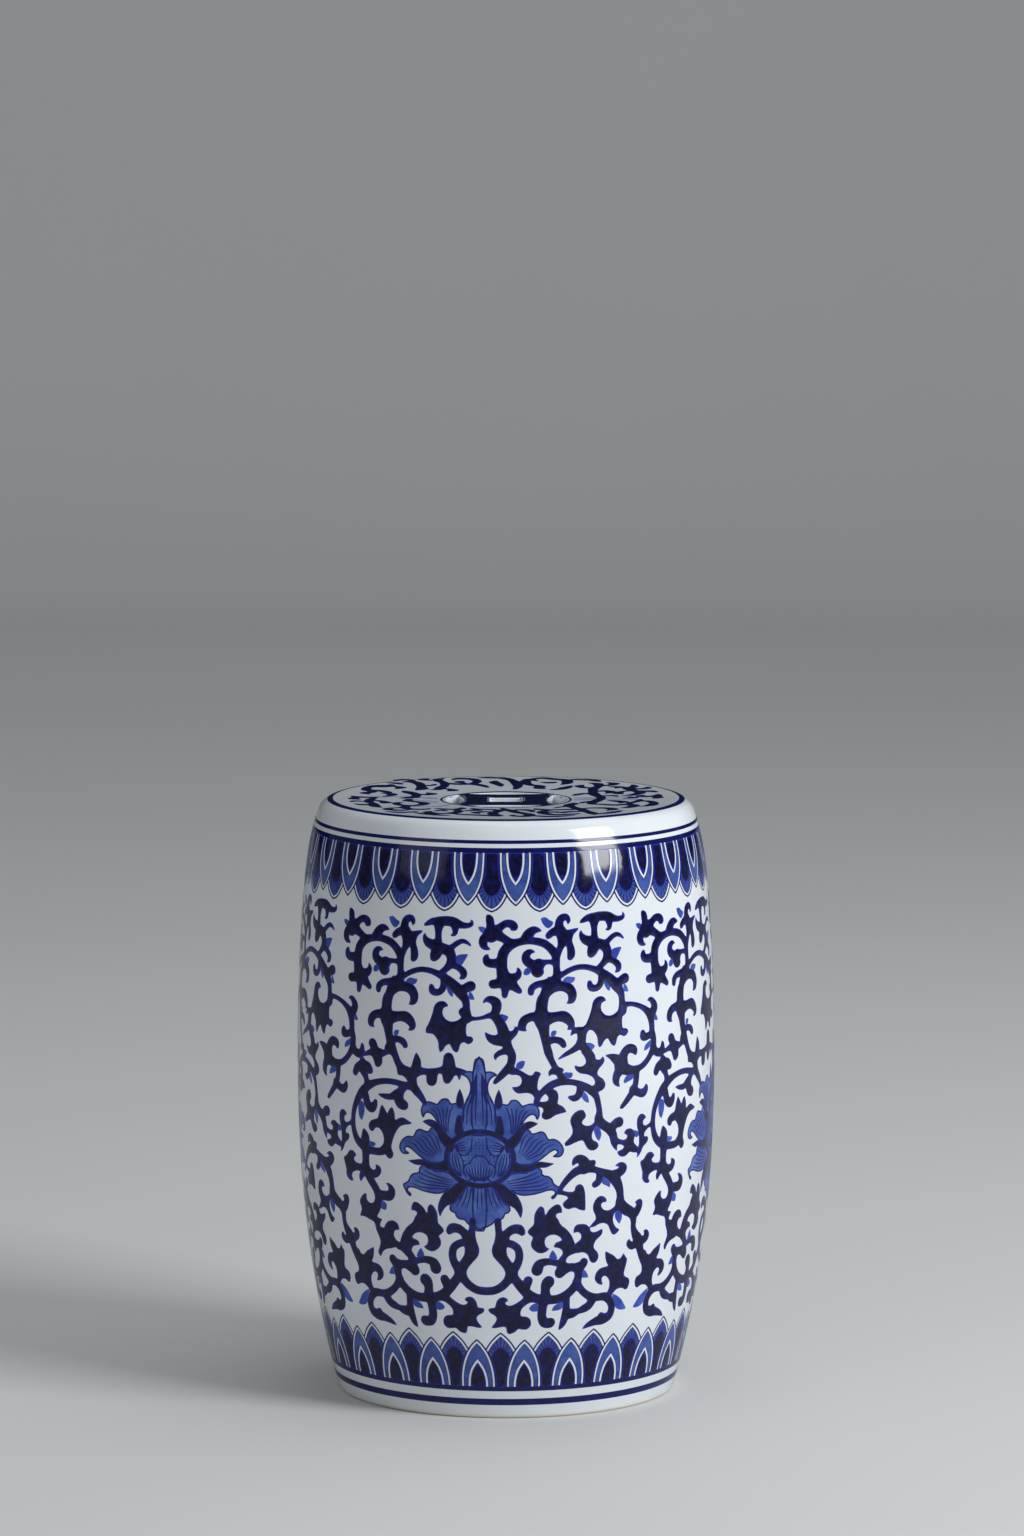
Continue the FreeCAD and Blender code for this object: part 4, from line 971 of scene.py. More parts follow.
class Sheet:
    """A flat window of the glaze, on which brushwork is a field of distances from its edges."""

    REACH = 2.0
    DEEPEST = 4.0
    WIDEST = 8.0
    LAST_CELL = 1.001
    FARTHEST = 1e9

    def __init__(self, left, right, low, high, cell, period=0.0):
        self.left, self.right, self.low, self.high = left, right, low, high
        self.period = period
        self.across = np.linspace(left, right, round((right - left) / cell) + 1)
        self.up = np.linspace(low, high, round((high - low) / cell) + 1)
        self.step = (self.across[1] - self.across[0], self.up[1] - self.up[0])
        self.field = np.full((len(self.up), len(self.across)), self.REACH)

    def copies(self, points):
        """The places of a shape in the window, where the sheet runs on round the stool."""
        points = np.array(points)
        moves = (-self.period, 0.0, self.period) if self.period else (0.0,)
        for move in moves:
            placed = points + np.array([move] + [0.0] * (points.shape[1] - 1))
            margin = self.REACH + self.WIDEST
            if placed[:, 0].max() > self.left - margin and placed[:, 0].min() < self.right + margin:
                yield placed

    def window(self, low_corner, high_corner):
        """The part of the grid between two corners, and its points."""
        columns = slice(max(0, int((low_corner[0] - self.left) / self.step[0]) - 1),
                        max(0, int((high_corner[0] - self.left) / self.step[0]) + 3))
        rows = slice(max(0, int((low_corner[1] - self.low) / self.step[1]) - 1),
                     max(0, int((high_corner[1] - self.low) / self.step[1]) + 3))
        return rows, columns, self.across[columns][None, :], self.up[rows][:, None]

    def brush(self, points, share=1.0):
        """Lays a stroke along points that give its middle and its width."""
        for line in self.copies(curve_through(points, closed=False)):
            line[:, 2] *= share / 2
            for first, last in zip(line, line[1:]):
                margin = max(first[2], last[2]) + self.REACH
                rows, columns, x, y = self.window(np.minimum(first, last)[:2] - margin,
                                                  np.maximum(first, last)[:2] + margin)
                along, across, up = beside(first, last, x, y)
                here = np.hypot(across, up) - (first[2] + (last[2] - first[2]) * along)
                self.field[rows, columns] = np.minimum(self.field[rows, columns], here)

    def outline_field(self, outline, x, y):
        """The signed distance from a closed outline at points of the grid."""
        inside = np.zeros(np.broadcast(x, y).shape, dtype=bool)
        nearest = np.full(inside.shape, self.FARTHEST)
        for first, last in zip(outline, np.roll(outline, -1, axis=0)):
            _, across, up = beside(first, last, x, y)
            nearest = np.minimum(nearest, across ** 2 + up ** 2)
            if first[1] != last[1]:
                crossing = first[0] + (y - first[1]) * (last[0] - first[0]) / (last[1] - first[1])
                inside ^= ((first[1] > y) != (last[1] > y)) & (x < crossing)
        away = np.sqrt(nearest)
        return np.where(inside, -away, away)

    def fill(self, points):
        """Fills an outline of given points."""
        for outline in self.copies(curve_through(points, closed=True)):
            rows, columns, x, y = self.window(outline.min(0) - self.REACH, outline.max(0) + self.REACH)
            if x.size and y.size:
                here = self.outline_field(outline, x, y)
                self.field[rows, columns] = np.minimum(self.field[rows, columns], here)

    def soften(self, times=1):
        """Rounds the field a little, as a wet brush and the glaze round each join."""
        for _ in range(times):
            field = np.clip(self.field, -self.DEEPEST, self.REACH)
            if self.period:
                field[:, -1] = field[:, 0]
                wide = np.concatenate([field[:, -2:-1], field, field[:, 1:2]], axis=1)
            else:
                wide = np.pad(field, ((0, 0), (1, 1)), mode="edge")
            field = (wide[:, :-2] + 2 * wide[:, 1:-1] + wide[:, 2:]) / 4
            tall = np.pad(field, ((1, 1), (0, 0)), mode="edge")
            self.field = (tall[:-2] + 2 * tall[1:-1] + tall[2:]) / 4
        if self.period:
            self.field[:, -1] = self.field[:, 0]

    def depth_at(self, points):
        """The field at points of the sheet, between the grid's points."""
        points = np.asarray(points)
        column = np.clip((points[:, 0] - self.left) / self.step[0], 0, len(self.across) - self.LAST_CELL)
        row = np.clip((points[:, 1] - self.low) / self.step[1], 0, len(self.up) - self.LAST_CELL)
        left, low = column.astype(int), row.astype(int)
        right_share, high_share = column - left, row - low

        def between(level):
            return self.field[level, left] * (1 - right_share) + self.field[level, left + 1] * right_share

        return between(low) * (1 - high_share) + between(low + 1) * high_share

    def contours(self, level, gap):
        """The lines of the sheet where the field has a level, as chains of points."""
        field = self.field - level
        below = field < 0
        width = field.shape[1]
        total = (below[:-1, :-1].astype(int) + below[:-1, 1:] + below[1:, :-1] + below[1:, 1:])
        links = {}
        for row, column in zip(*np.nonzero((total > 0) & (total < 4))):
            sides = ((row * width + column) * 2, (row * width + column) * 2 + 1,
                     ((row + 1) * width + column) * 2, (row * width + column + 1) * 2 + 1)
            sw, se = below[row, column], below[row, column + 1]
            nw, ne = below[row + 1, column], below[row + 1, column + 1]
            crossed = [side for side, cut in zip(sides, (sw != se, sw != nw, nw != ne, se != ne)) if cut]
            if len(crossed) == 4:
                joined = (field[row:row + 2, column:column + 2].mean() < 0) == sw
                south, west, north, east = sides
                crossed = [south, east, west, north] if joined else [south, west, north, east]
            for first, last in zip(crossed[::2], crossed[1::2]):
                links.setdefault(first, []).append(last)
                links.setdefault(last, []).append(first)

        def place(key):
            row, column = divmod(key // 2, width)
            other = (row + 1, column) if key % 2 else (row, column + 1)
            share = field[row, column] / (field[row, column] - field[other])
            point = np.array([self.across[column], self.up[row]])
            return point + share * (np.array([self.across[other[1]], self.up[other[0]]]) - point)

        chains, done = [], set()
        for start in sorted(links, key=lambda key: (len(links[key]), key)):
            if start in done:
                continue
            chain, here = [start], start
            done.add(start)
            while True:
                ahead = [key for key in links[here] if key not in done]
                if not ahead:
                    break
                here = ahead[0]
                done.add(here)
                chain.append(here)
            closed = len(links[start]) == 2
            chains.append((thinned([place(key) for key in chain], gap, closed), closed))
        return [(points, closed) for points, closed in chains if len(points) > (2 if closed else 1)]


def thinned(points, gap, closed):
    """A chain with points about a gap apart, and with its corners kept."""
    points = np.array(points)
    count = len(points)
    if count < fewest_thinned:
        return points
    ahead = np.roll(points, -2, axis=0) - points
    behind = points - np.roll(points, 2, axis=0)
    turn = np.abs(ahead[:, 0] * behind[:, 1] - ahead[:, 1] * behind[:, 0])
    turn = turn / np.maximum(np.hypot(*ahead.T) * np.hypot(*behind.T), LEAST_RUN)
    kept, walked = [0], 0.0
    for place in range(1, count):
        walked += math.dist(points[place], points[place - 1])
        sharp = turn[place] >= max(corner_turn, turn[place - 1], turn[(place + 1) % count])
        if walked >= gap or (sharp and walked > gap / 4):
            kept.append(place)
            walked = 0.0
    if not closed and kept[-1] != count - 1:
        if math.dist(points[kept[-1]], points[-1]) < gap / 2 and len(kept) > 1:
            kept.pop()
        kept.append(count - 1)
    if closed and math.dist(points[kept[-1]], points[0]) < gap / 3:
        kept.pop()
    return points[kept]


CutOut = namedtuple("CutOut", "points faces depth rims ends")


def cut_out(sheet, depths, gap, grid_gap, border=None):
    """Triangles over the painted part of a sheet, with a ring of points at each depth under its edge."""
    points, edges, rim_count = [], [], 0
    corners = [(sheet.left, sheet.low), (sheet.right, sheet.low),
               (sheet.right, sheet.high), (sheet.left, sheet.high)]
    for point in border if border is not None else corners:
        points.append(tuple(point))
    for depth in depths:
        for chain, closed in sheet.contours(-depth, gap * (1 + deeper_gap_growth * (depth > 0))):
            start = len(points)
            points += [tuple(point) for point in chain]
            pairs = [(start + step, start + step + 1) for step in range(len(chain) - 1)]
            if closed:
                pairs.append((start + len(chain) - 1, start))
            edges += pairs
        rim_count = rim_count or len(edges)
    inner = []
    for row, level in enumerate(np.arange(sheet.low + grid_gap / 2, sheet.high, grid_gap)):
        offset = grid_gap / 2 * (row % 2)
        columns = np.arange(sheet.left + grid_gap / 2 + offset, sheet.right, grid_gap)
        inner += [(across, level) for across in columns]
    if inner:
        inner = np.array(inner)
        deep = sheet.depth_at(inner) < -depths[-1] - grid_gap * ring_clearance
        if border is not None:
            reach = math.hypot(*border[0])
            deep &= np.hypot(*inner.T) < reach - grid_gap * border_clearance
        margin = grid_gap * side_clearance
        deep &= (inner[:, 0] > sheet.left + margin) & (inner[:, 0] < sheet.right - margin)
        points += [tuple(point) for point in inner[deep]]
    if border is None:
        for level in np.arange(sheet.low + grid_gap / 2, sheet.high, grid_gap):
            points += [(end, level) for end in (sheet.left, sheet.right)
                       if sheet.depth_at([(end, level)])[0] < -grid_gap * end_clearance]
    found = geometry.delaunay_2d_cdt([Vector(point) for point in points], edges, [], 0, LEAST_GAP)
    placed = np.array([tuple(point) for point in found[0]])
    triangles = [tuple(face) for face in found[2]]
    rims = {frozenset(edge) for edge, given in zip(found[1], found[4])
            if any(old < rim_count for old in given)}
    users = {}
    for number, triangle in enumerate(triangles):
        for side in range(3):
            users.setdefault(frozenset((triangle[side], triangle[side - 1])), []).append(number)
    centres = placed[np.array(triangles)].mean(axis=1)
    levels = sheet.depth_at(centres) + depths[0]
    painted, seen = set(), set()
    for number in range(len(triangles)):
        if number in seen:
            continue
        group, waiting = [], [number]
        seen.add(number)
        while waiting:
            here = waiting.pop()
            group.append(here)
            triangle = triangles[here]
            for side in range(3):
                edge = frozenset((triangle[side], triangle[side - 1]))
                if edge in rims:
                    continue
                for other in users[edge]:
                    if other not in seen:
                        seen.add(other)
                        waiting.append(other)
        values = levels[group]
        if values[np.argmax(np.abs(values))] < 0:
            painted.update(group)
    kept = [triangles[number] for number in sorted(painted)]
    depth = np.clip(-sheet.depth_at(placed), 0, None)
    for rim in rims:
        for end in rim:
            depth[end] = depths[0]
    kept = [face if turns_left(placed, face) else face[::-1] for face in kept]
    return CutOut(placed, kept, depth, rims, (sheet.left, sheet.right))


def turns_left(points, face):
    """True where a triangle goes round anticlockwise."""
    (ax, ay), (bx, by), (cx, cy) = (points[corner] for corner in face)
    return (bx - ax) * (cy - ay) - (by - ay) * (cx - ax) > 0


def solid_from(cut, top, bottom, chosen=None):
    """A closed solid over painted triangles, between the places that top and bottom give each point."""
    faces = [face for face in cut.faces if chosen is None or chosen(cut.points[list(face)].mean(axis=0))]
    used = sorted({corner for face in faces for corner in face})
    number = {old: new for new, old in enumerate(used)}
    faces = [tuple(number[corner] for corner in face) for face in faces]
    points, depth = cut.points[used], cut.depth[used]
    count = len(used)
    edges = {(face[side - 1], face[side]) for face in faces for side in range(3)}
    rims = {frozenset(number[end] for end in rim) for rim in cut.rims if all(end in number for end in rim)}
    walls = []
    for first, last in edges:
        if (last, first) in edges:
            continue
        inner_cut = chosen is not None and not any(
            max(abs(points[first][0] - end), abs(points[last][0] - end)) < ON_END for end in cut.ends)
        if inner_cut or frozenset((first, last)) in rims:
            walls.append((last, first, first + count, last + count))
    vertices = np.concatenate([top(points, depth), bottom(points, depth)])
    flipped = [tuple(corner + count for corner in face[::-1]) for face in faces]
    return vertices, faces + flipped + walls, np.concatenate([depth, depth])


class Term:
    """A value in a finish: adding or multiplying it writes the Math node."""

    def __init__(self, finish, socket):
        self.finish, self.socket = finish, socket

    def sum(self, operation, *values):
        """A Math node between two values."""
        return self.finish.node("ShaderNodeMath", {"operation": operation}, *values)

    def __add__(self, other):
        return self.sum("ADD", self, other)

    def __radd__(self, other):
        return self.sum("ADD", other, self)

    def __sub__(self, other):
        return self.sum("SUBTRACT", self, other)

    def __rsub__(self, other):
        return self.sum("SUBTRACT", other, self)

    def __mul__(self, other):
        return self.sum("MULTIPLY", self, other)

    def held(self):
        """The value kept between 0 and 1."""
        return self.finish.node("ShaderNodeClamp", {}, self)

    def ramp(self, low, high):
        """0 at the low value and 1 at the high one, smoothly between them."""
        settings = {"interpolation_type": "SMOOTHSTEP"}
        return self.finish.node("ShaderNodeMapRange", settings, self, low, high, 0.0, 1.0)


class Finish:
    """A material in the making."""

    def __init__(self, name):
        self.material = bpy.data.materials.new(name)
        self.material.use_nodes = True
        self.tree = self.material.node_tree
        self.tree.nodes.clear()

    def node(self, kind, settings, *values, output=0, **named):
        """Adds a node: its settings first, then the values or links of its sockets."""
        made = self.tree.nodes.new(kind)
        for setting, value in settings.items():
            setattr(made, setting, value)
        for key, value in list(enumerate(values)) + list(named.items()):
            if value is None:
                continue
            socket = made.inputs[key if isinstance(key, int) else key.replace("_", " ")]
            if isinstance(value, Term):
                self.tree.links.new(value.socket, socket)
            else:
                socket.default_value = value
        return None if output is None else Term(self, made.outputs[output])

    def place(self):
        """The point on the stool, in metres from its axis on the floor."""
        return self.node("ShaderNodeTexCoord", {}, output="Object")

    def pattern(self, name):
        """A soft random value about 0.5, or the patches where it lies over its pattern's limits."""
        scale, detail, roughness, *limits = PATTERNS[name]
        value = self.node("ShaderNodeTexNoise", {}, self.place(), None, scale, detail, roughness)
        return value.ramp(*limits) if limits else value

    def blend(self, share, first, last):
        """One colour over another, by a share."""
        return self.node("ShaderNodeMix", {"data_type": "RGBA"}, share, None, None, None, None, None,
                         first, last, output=2)

    def bump(self, height, strength, distance):
        """A normal that follows a height in the glaze."""
        return self.node("ShaderNodeBump", {}, Strength=strength, Distance=distance, Height=height)

    def done(self, **sockets):
        """Ends in the ceramic shader."""
        shader = self.node("ShaderNodeBsdfPrincipled", {}, **sockets)
        self.node("ShaderNodeOutputMaterial", {}, shader, output=None)
        return self.material


def linear(colour):
    """A colour as the shader takes it, from its sRGB value."""
    linear_end, linear_slope, offset, gamma = 0.04045, 12.92, 0.055, 2.4
    return tuple(part / linear_slope if part <= linear_end else ((part + offset) / (1 + offset)) ** gamma
                 for part in colour) + (1.0,)


# How the finishes bend and scatter light
glaze_ior, clay_ior, floor_ior = 1.5, 1.45, 1.3
glaze_roughness, clay_roughness, slip_roughness, floor_roughness = 0.07, 0.72, 0.62, 0.85

# Patterns of the finishes: patches to the metre, detail, roughness, and the limits that patches fade between
PATTERNS = {
    "wall_wave": (9.0, 2.0, 0.5),
    "glaze_skin": (70.0, 2.0, 0.5),
    "glaze_cloud": (11.0, 4.0, 0.5, 0.3, 0.75),
    "glaze_sheen": (35.0, 3.0, 0.5),
    "pinhole_patch": (14.0, 1.0, 0.5, 0.56, 0.64),
    "pooled": (55.0, 4.0, 0.6, 0.42, 0.72),
    "brushed": (260.0, 3.0, 0.65, 0.35, 0.8),
    "stroke_edge": (120.0, 2.0, 0.5),
    "cobalt_sheen": (90.0, 3.0, 0.5),
    "clay_grain": (900.0, 4.0, 0.7),
    "clay_bloom": (24.0, 3.0, 0.5, 0.35, 0.7),
    "clay_lump": (130.0, 2.0, 0.5),
    "slip_grain": (700.0, 3.0, 0.6),
    "floor_cloud": (1.1, 3.0, 0.5, 0.3, 0.7),
    "floor_grain": (40.0, 2.0, 0.5),
}

# How strongly each pattern shows in the colour, in the roughness and in the height
cloud_share, pinhole_share, brushed_share, stroke_unevenness = 0.55, 0.45, 0.28, 0.9
bloom_share, clay_speck_share, wiped_share = 0.6, 0.35, 0.35
# The floor's second share is a painted reflection: how much of the room's colour is painted over the floor
# at its own level, seen only in the glaze
floor_cloud_share, painted_reflection_floor_share = 0.25, 0.35
glaze_sheen, cobalt_sheen, clay_grain_sheen, floor_grain_sheen = 0.06, 0.08, 0.2, 0.1
skin_height_share, lump_height_share, wiped_height_share, grain_height_share = 0.12, 0.6, 0.5, 0.4

# Bumps as a strength and a height in metres, the pinholes, the clay's specks, the finger marks in the slip,
# and the height up to which the painted reflection on the floor grows to the room's full colour
glaze_bump_size, clay_bump_size, slip_bump_size = (0.35, 0.0016), (0.5, 0.0006), (0.4, 0.0008)
pinhole_scale, pinhole_radius, pinhole_fade = 95.0, 0.035, 0.02
clay_speck_limits = (0.62, 0.72)
wiped_scale, wiped_distortion, wiped_detail = 60.0, 6.0, 3.0
painted_reflection_full_height = 0.5


def glaze_bump(finish):
    """The slow unevenness of a thrown and dipped wall, under the fine skin of the glaze."""
    slow = finish.pattern("wall_wave")
    skin = finish.pattern("glaze_skin")
    return finish.bump(slow + skin * skin_height_share, *glaze_bump_size)


def make_white_glaze(colours):
    """Bluish white glaze over white clay, a little greyer in patches, with a few pinholes."""
    finish = Finish("white_glaze")
    cloud = finish.pattern("glaze_cloud")
    speck = finish.node("ShaderNodeTexVoronoi", {"feature": "F1"}, finish.place(), None, pinhole_scale)
    pinhole = (pinhole_radius - speck).ramp(0.0, pinhole_fade) * finish.pattern("pinhole_patch")
    tint = finish.blend(cloud * cloud_share, tuple(colours.glaze), tuple(colours.glaze_shade))
    tint = finish.blend(pinhole * pinhole_share, tint, tuple(colours.pinhole))
    rough = glaze_roughness + finish.pattern("glaze_sheen") * glaze_sheen
    return finish.done(Base_Color=tint, Roughness=rough, IOR=glaze_ior, Normal=glaze_bump(finish))


def make_cobalt(name, core, edge, streak, fringe, mottle):
    """Cobalt under the glaze: dark where it pools, and bluer in streaks and along each stroke's edge."""
    finish = Finish(name)
    depth = finish.node("ShaderNodeAttribute", {"attribute_name": "depth"}, output="Fac")
    pooled = finish.pattern("pooled")
    brushed = finish.pattern("brushed")
    tone = finish.blend(pooled * mottle, tuple(core), tuple(streak))
    tone = finish.blend(brushed * brushed_share, tone, tuple(edge))
    uneven = finish.pattern("stroke_edge") * stroke_unevenness
    rim = 1.0 - (depth * (1.0 / fringe) + uneven - stroke_unevenness / 2).held().ramp(0.0, 1.0)
    tone = finish.blend(rim, tone, tuple(edge))
    rough = glaze_roughness + finish.pattern("cobalt_sheen") * cobalt_sheen
    return finish.done(Base_Color=tone, Roughness=rough, IOR=glaze_ior, Normal=glaze_bump(finish))


def make_bare_clay(colours):
    """Unglazed clay on the foot's rim and inside: matt, with fine grog and a warmer bloom."""
    finish = Finish("bare_clay")
    grain = finish.pattern("clay_grain")
    bloom = finish.pattern("clay_bloom")
    tint = finish.blend(bloom * bloom_share, tuple(colours.clay), tuple(colours.clay_bloom))
    tint = finish.blend(grain.ramp(*clay_speck_limits) * clay_speck_share, tint, tuple(colours.clay_speck))
    rough = clay_roughness + grain * clay_grain_sheen
    height = grain + finish.pattern("clay_lump") * lump_height_share
    return finish.done(Base_Color=tint, Roughness=rough, IOR=clay_ior,
                       Normal=finish.bump(height, *clay_bump_size))


def make_joining_slip(colours):
    """Slip in the joins, inside the stool: like the clay, with the marks of the finger that pressed it."""
    finish = Finish("joining_slip")
    bands = {"wave_type": "BANDS", "bands_direction": "Z"}
    wiped = finish.node("ShaderNodeTexWave", bands, finish.place(), wiped_scale, wiped_distortion,
                        wiped_detail, output="Fac")
    grain = finish.pattern("slip_grain")
    tint = finish.blend(wiped * wiped_share, tuple(colours.slip), tuple(colours.clay_bloom))
    rough = slip_roughness + grain * clay_grain_sheen
    height = wiped * wiped_height_share + grain * grain_height_share
    return finish.done(Base_Color=tint, Roughness=rough, IOR=clay_ior,
                       Normal=finish.bump(height, *slip_bump_size))


def make_pale_floor(colours):
    """Plain pale floor and backdrop; in the glaze's reflections they take on the room's colour, a painted
    reflection of a dark room, in part at floor level and wholly from knee height up.
    """
    finish = Finish("pale_floor")
    cloud = finish.pattern("floor_cloud")
    tint = finish.blend(cloud * floor_cloud_share, tuple(colours.floor), tuple(colours.floor_shade))
    level = finish.node("ShaderNodeSeparateXYZ", {}, finish.place(), output="Z").ramp(0.0, painted_reflection_full_height)
    # Painted reflection: rays from the glaze see the floor and backdrop blended towards the room's colour,
    # more so the higher they are
    glossy = finish.node("ShaderNodeLightPath", {}, output="Is Glossy Ray")
    painted_reflection_share = glossy * (painted_reflection_floor_share + level * (1 - painted_reflection_floor_share))
    tint = finish.blend(painted_reflection_share, tint, tuple(colours.room))
    rough = floor_roughness + finish.pattern("floor_grain") * floor_grain_sheen
    return finish.done(Base_Color=tint, Roughness=rough, IOR=floor_ior)


# Cobalt paints: the colours of core, edge and streaks, how wide the edge is and how much it is streaked
COBALTS = {
    "cobalt_dark": ("cobalt", "cobalt_edge", "cobalt_streak", 1.1, 0.5),
    "cobalt_line": ("line", "line_streak", "line_streak", 0.35, 0.5),
    "cobalt_bud": ("bud", "bud_pale", "bud_pale", 0.8, 0.8),
    "lotus_wash": ("wash", "wash_edge", "wash_pale", 0.7, 0.85),
    "petal_band": ("petal", "line", "petal_pale", 0.8, 0.7),
    "petal_pale": ("petal_light", "line", "petal_pale", 0.8, 0.4),
}
FINISH_MAKERS = {
    "white_glaze": make_white_glaze,
    "bare_clay": make_bare_clay,
    "joining_slip": make_joining_slip,
    "pale_floor": make_pale_floor,
}


def finish_named(name):
    """A finish by its name, made the first time that it is asked for."""
    made = bpy.data.materials.get(name)
    colours = bpy.context.scene.stool_colours
    if not made and name in COBALTS:
        core, edge, streak, fringe, mottle = COBALTS[name]
        return make_cobalt(name, getattr(colours, core), getattr(colours, edge), getattr(colours, streak),
                           fringe, mottle)
    return made or FINISH_MAKERS[name](colours)


def repeat_tree():
    """Geometry Nodes that set copies of a painted motif round the stool's axis and weld their ends."""
    tree = bpy.data.node_groups.new("Motif round the stool", "GeometryNodeTree")
    sockets = {}
    tree.interface.new_socket(name="Geometry", in_out="OUTPUT", socket_type="NodeSocketGeometry")
    for name, kind in (("Geometry", "Geometry"), ("Motifs", "Int"), ("Turn", "Float"),
                       ("Weld Distance", "Float"), ("Finish", "Material")):
        socket = tree.interface.new_socket(name=name, in_out="INPUT", socket_type="NodeSocket" + kind)
        sockets[name] = socket.identifier

    def add(kind, settings=None, **links):
        made = tree.nodes.new(kind)
        for setting, value in (settings or {}).items():
            setattr(made, setting, value)
        for key, value in links.items():
            tree.links.new(value, made.inputs[key.replace("_", " ")])
        return made

    given = tree.nodes.new("NodeGroupInput").outputs
    points = add("GeometryNodePoints", Count=given["Motifs"])
    number = add("GeometryNodeInputIndex")
    turn = add("ShaderNodeMath", {"operation": "MULTIPLY"})
    tree.links.new(number.outputs[0], turn.inputs[0])
    tree.links.new(given["Turn"], turn.inputs[1])
    angles = add("ShaderNodeCombineXYZ", Z=turn.outputs[0])
    rotation = add("FunctionNodeEulerToRotation", Euler=angles.outputs[0])
    copies = add("GeometryNodeInstanceOnPoints", Points=points.outputs[0], Instance=given["Geometry"],
                 Rotation=rotation.outputs[0])
    real = add("GeometryNodeRealizeInstances", Geometry=copies.outputs[0])
    weld = add("GeometryNodeMergeByDistance", Geometry=real.outputs[0], Distance=given["Weld Distance"])
    painted = add("GeometryNodeSetMaterial", Geometry=weld.outputs[0], Material=given["Finish"])
    result = tree.nodes.new("NodeGroupOutput")
    tree.links.new(painted.outputs[0], result.inputs[0])
    return tree, sockets


def repeated(name, solid, count, finish):
    """A motif's solid set round the stool by Geometry Nodes, as one plain mesh."""
    vertices, faces, depth = solid
    piece = piece_from(name, vertices, faces, [finish], depth=depth)
    tree, sockets = repeat_tree()
    modifier = piece.modifiers.new("Motif round the stool", "NODES")
    modifier.node_group = tree
    modifier[sockets["Motifs"]] = count
    modifier[sockets["Turn"]] = FULL_TURN / count
    modifier[sockets["Weld Distance"]] = WELD
    modifier[sockets["Finish"]] = finish
    depsgraph = bpy.context.evaluated_depsgraph_get()
    mesh = bpy.data.meshes.new_from_object(piece.evaluated_get(depsgraph), preserve_all_data_layers=True,
                                           depsgraph=depsgraph)
    piece.modifiers.clear()
    single = piece.data
    piece.data = mesh
    mesh.name = name
    bpy.data.meshes.remove(single)
    bpy.data.node_groups.remove(tree)
    mesh.shade_smooth()
    mesh.set_sharp_from_angle(angle=math.radians(painted_smooth_angle))
    if len(mesh.polygons) == 0:
        raise RuntimeError("%s came out empty" % name)
    return piece


wall_radii = np.frompyfunc(wall_radius, 1, 1)


def on_wall(points, lift):
    """Points of the developed wall in space, each lifted off the clay."""
    angle = points[:, 0] / belly_radius + lotus_turn
    radius = wall_radii(points[:, 1]).astype(float) + lift
    return np.stack([radius * np.sin(angle), -radius * np.cos(angle), points[:, 1]], axis=1)


def paint_rise(depth, sizes, layer="dark"):
    """How far the paint of a layer stands off the clay: least at its rim."""
    lowest, share = PAINT_LAYERS[layer]
    return sizes.paint_relief * (lowest + share * np.clip(depth, 0, 1))


def painted_solid(cut, surface, sizes, layer="dark", chosen=None):
    """Paint on a surface as a closed solid whose underside is in the clay."""
    return solid_from(cut, lambda points, depth: surface(points, paint_rise(depth, sizes, layer)),
                      lambda points, depth: surface(points, -sizes.paint_root), chosen)


def scroll_sheet(cell):
    """The window of the wall that one lotus and its scroll fill."""
    half = quarter_length / 2
    return Sheet(-half, half, scroll_low, scroll_high, cell, quarter_length)


def both_sides(shapes, axis=LOTUS_AXIS):
    """Shapes and their mirror images in an upright axis."""
    for shape in shapes:
        yield shape
        yield mirrored(shape, axis)


def lay(mark, upper, sides, low):
    """Marks the shapes of all tiers: the upper tier's stand twice to each lotus, and not quite alike."""
    for across, up in ((0.0, 0.0), second_upper_motif):
        for shape in upper:
            mark(shifted(shape, across, up))
    for shape in sides:
        mark(shape)
    for shape in both_sides(low, LOW_AXIS):
        mark(shape)


def paint_scroll(sheet):
    """Brushes the dark scroll of one lotus on its sheet."""
    lay(sheet.brush, UPPER_STROKES, RIGHT_STROKES + LEFT_STROKES, LOW_STROKES)
    lay(sheet.fill, UPPER_LEAVES, RIGHT_LEAVES + LEFT_LEAVES, LOW_LEAVES)
    sheet.soften(2)


def paint_buds(sheet):
    """Fills the pale buds beside the scroll's stems on the sheet."""
    lay(sheet.fill, UPPER_BUDS, RIGHT_BUDS + LEFT_BUDS, LOW_BUDS)
    sheet.soften()


def veins_between(first, last, count):
    """Fine lines that share out the space between two guides."""
    first, last = np.array(first, dtype=float), np.array(last, dtype=float)
    for number in range(count):
        share = (number + 0.5) / count
        yield np.column_stack([first + (last - first) * share, vein_width * np.array(vein_taper)]).tolist()


def ellipse(centre, radii, count=ELLIPSE_STEPS):
    """An outline round a centre."""
    return [(centre[0] + radii[0] * math.cos(FULL_TURN * step / count),
             centre[1] + radii[1] * math.sin(FULL_TURN * step / count)) for step in range(count)]


def paint_lotus_wash(sheet):
    """Fills the petals and the heart."""
    for petal in both_sides(LOTUS_PETALS):
        sheet.fill(petal)
    sheet.fill(ellipse(LOTUS_HEART[0], LOTUS_HEART[2]))
    sheet.soften()


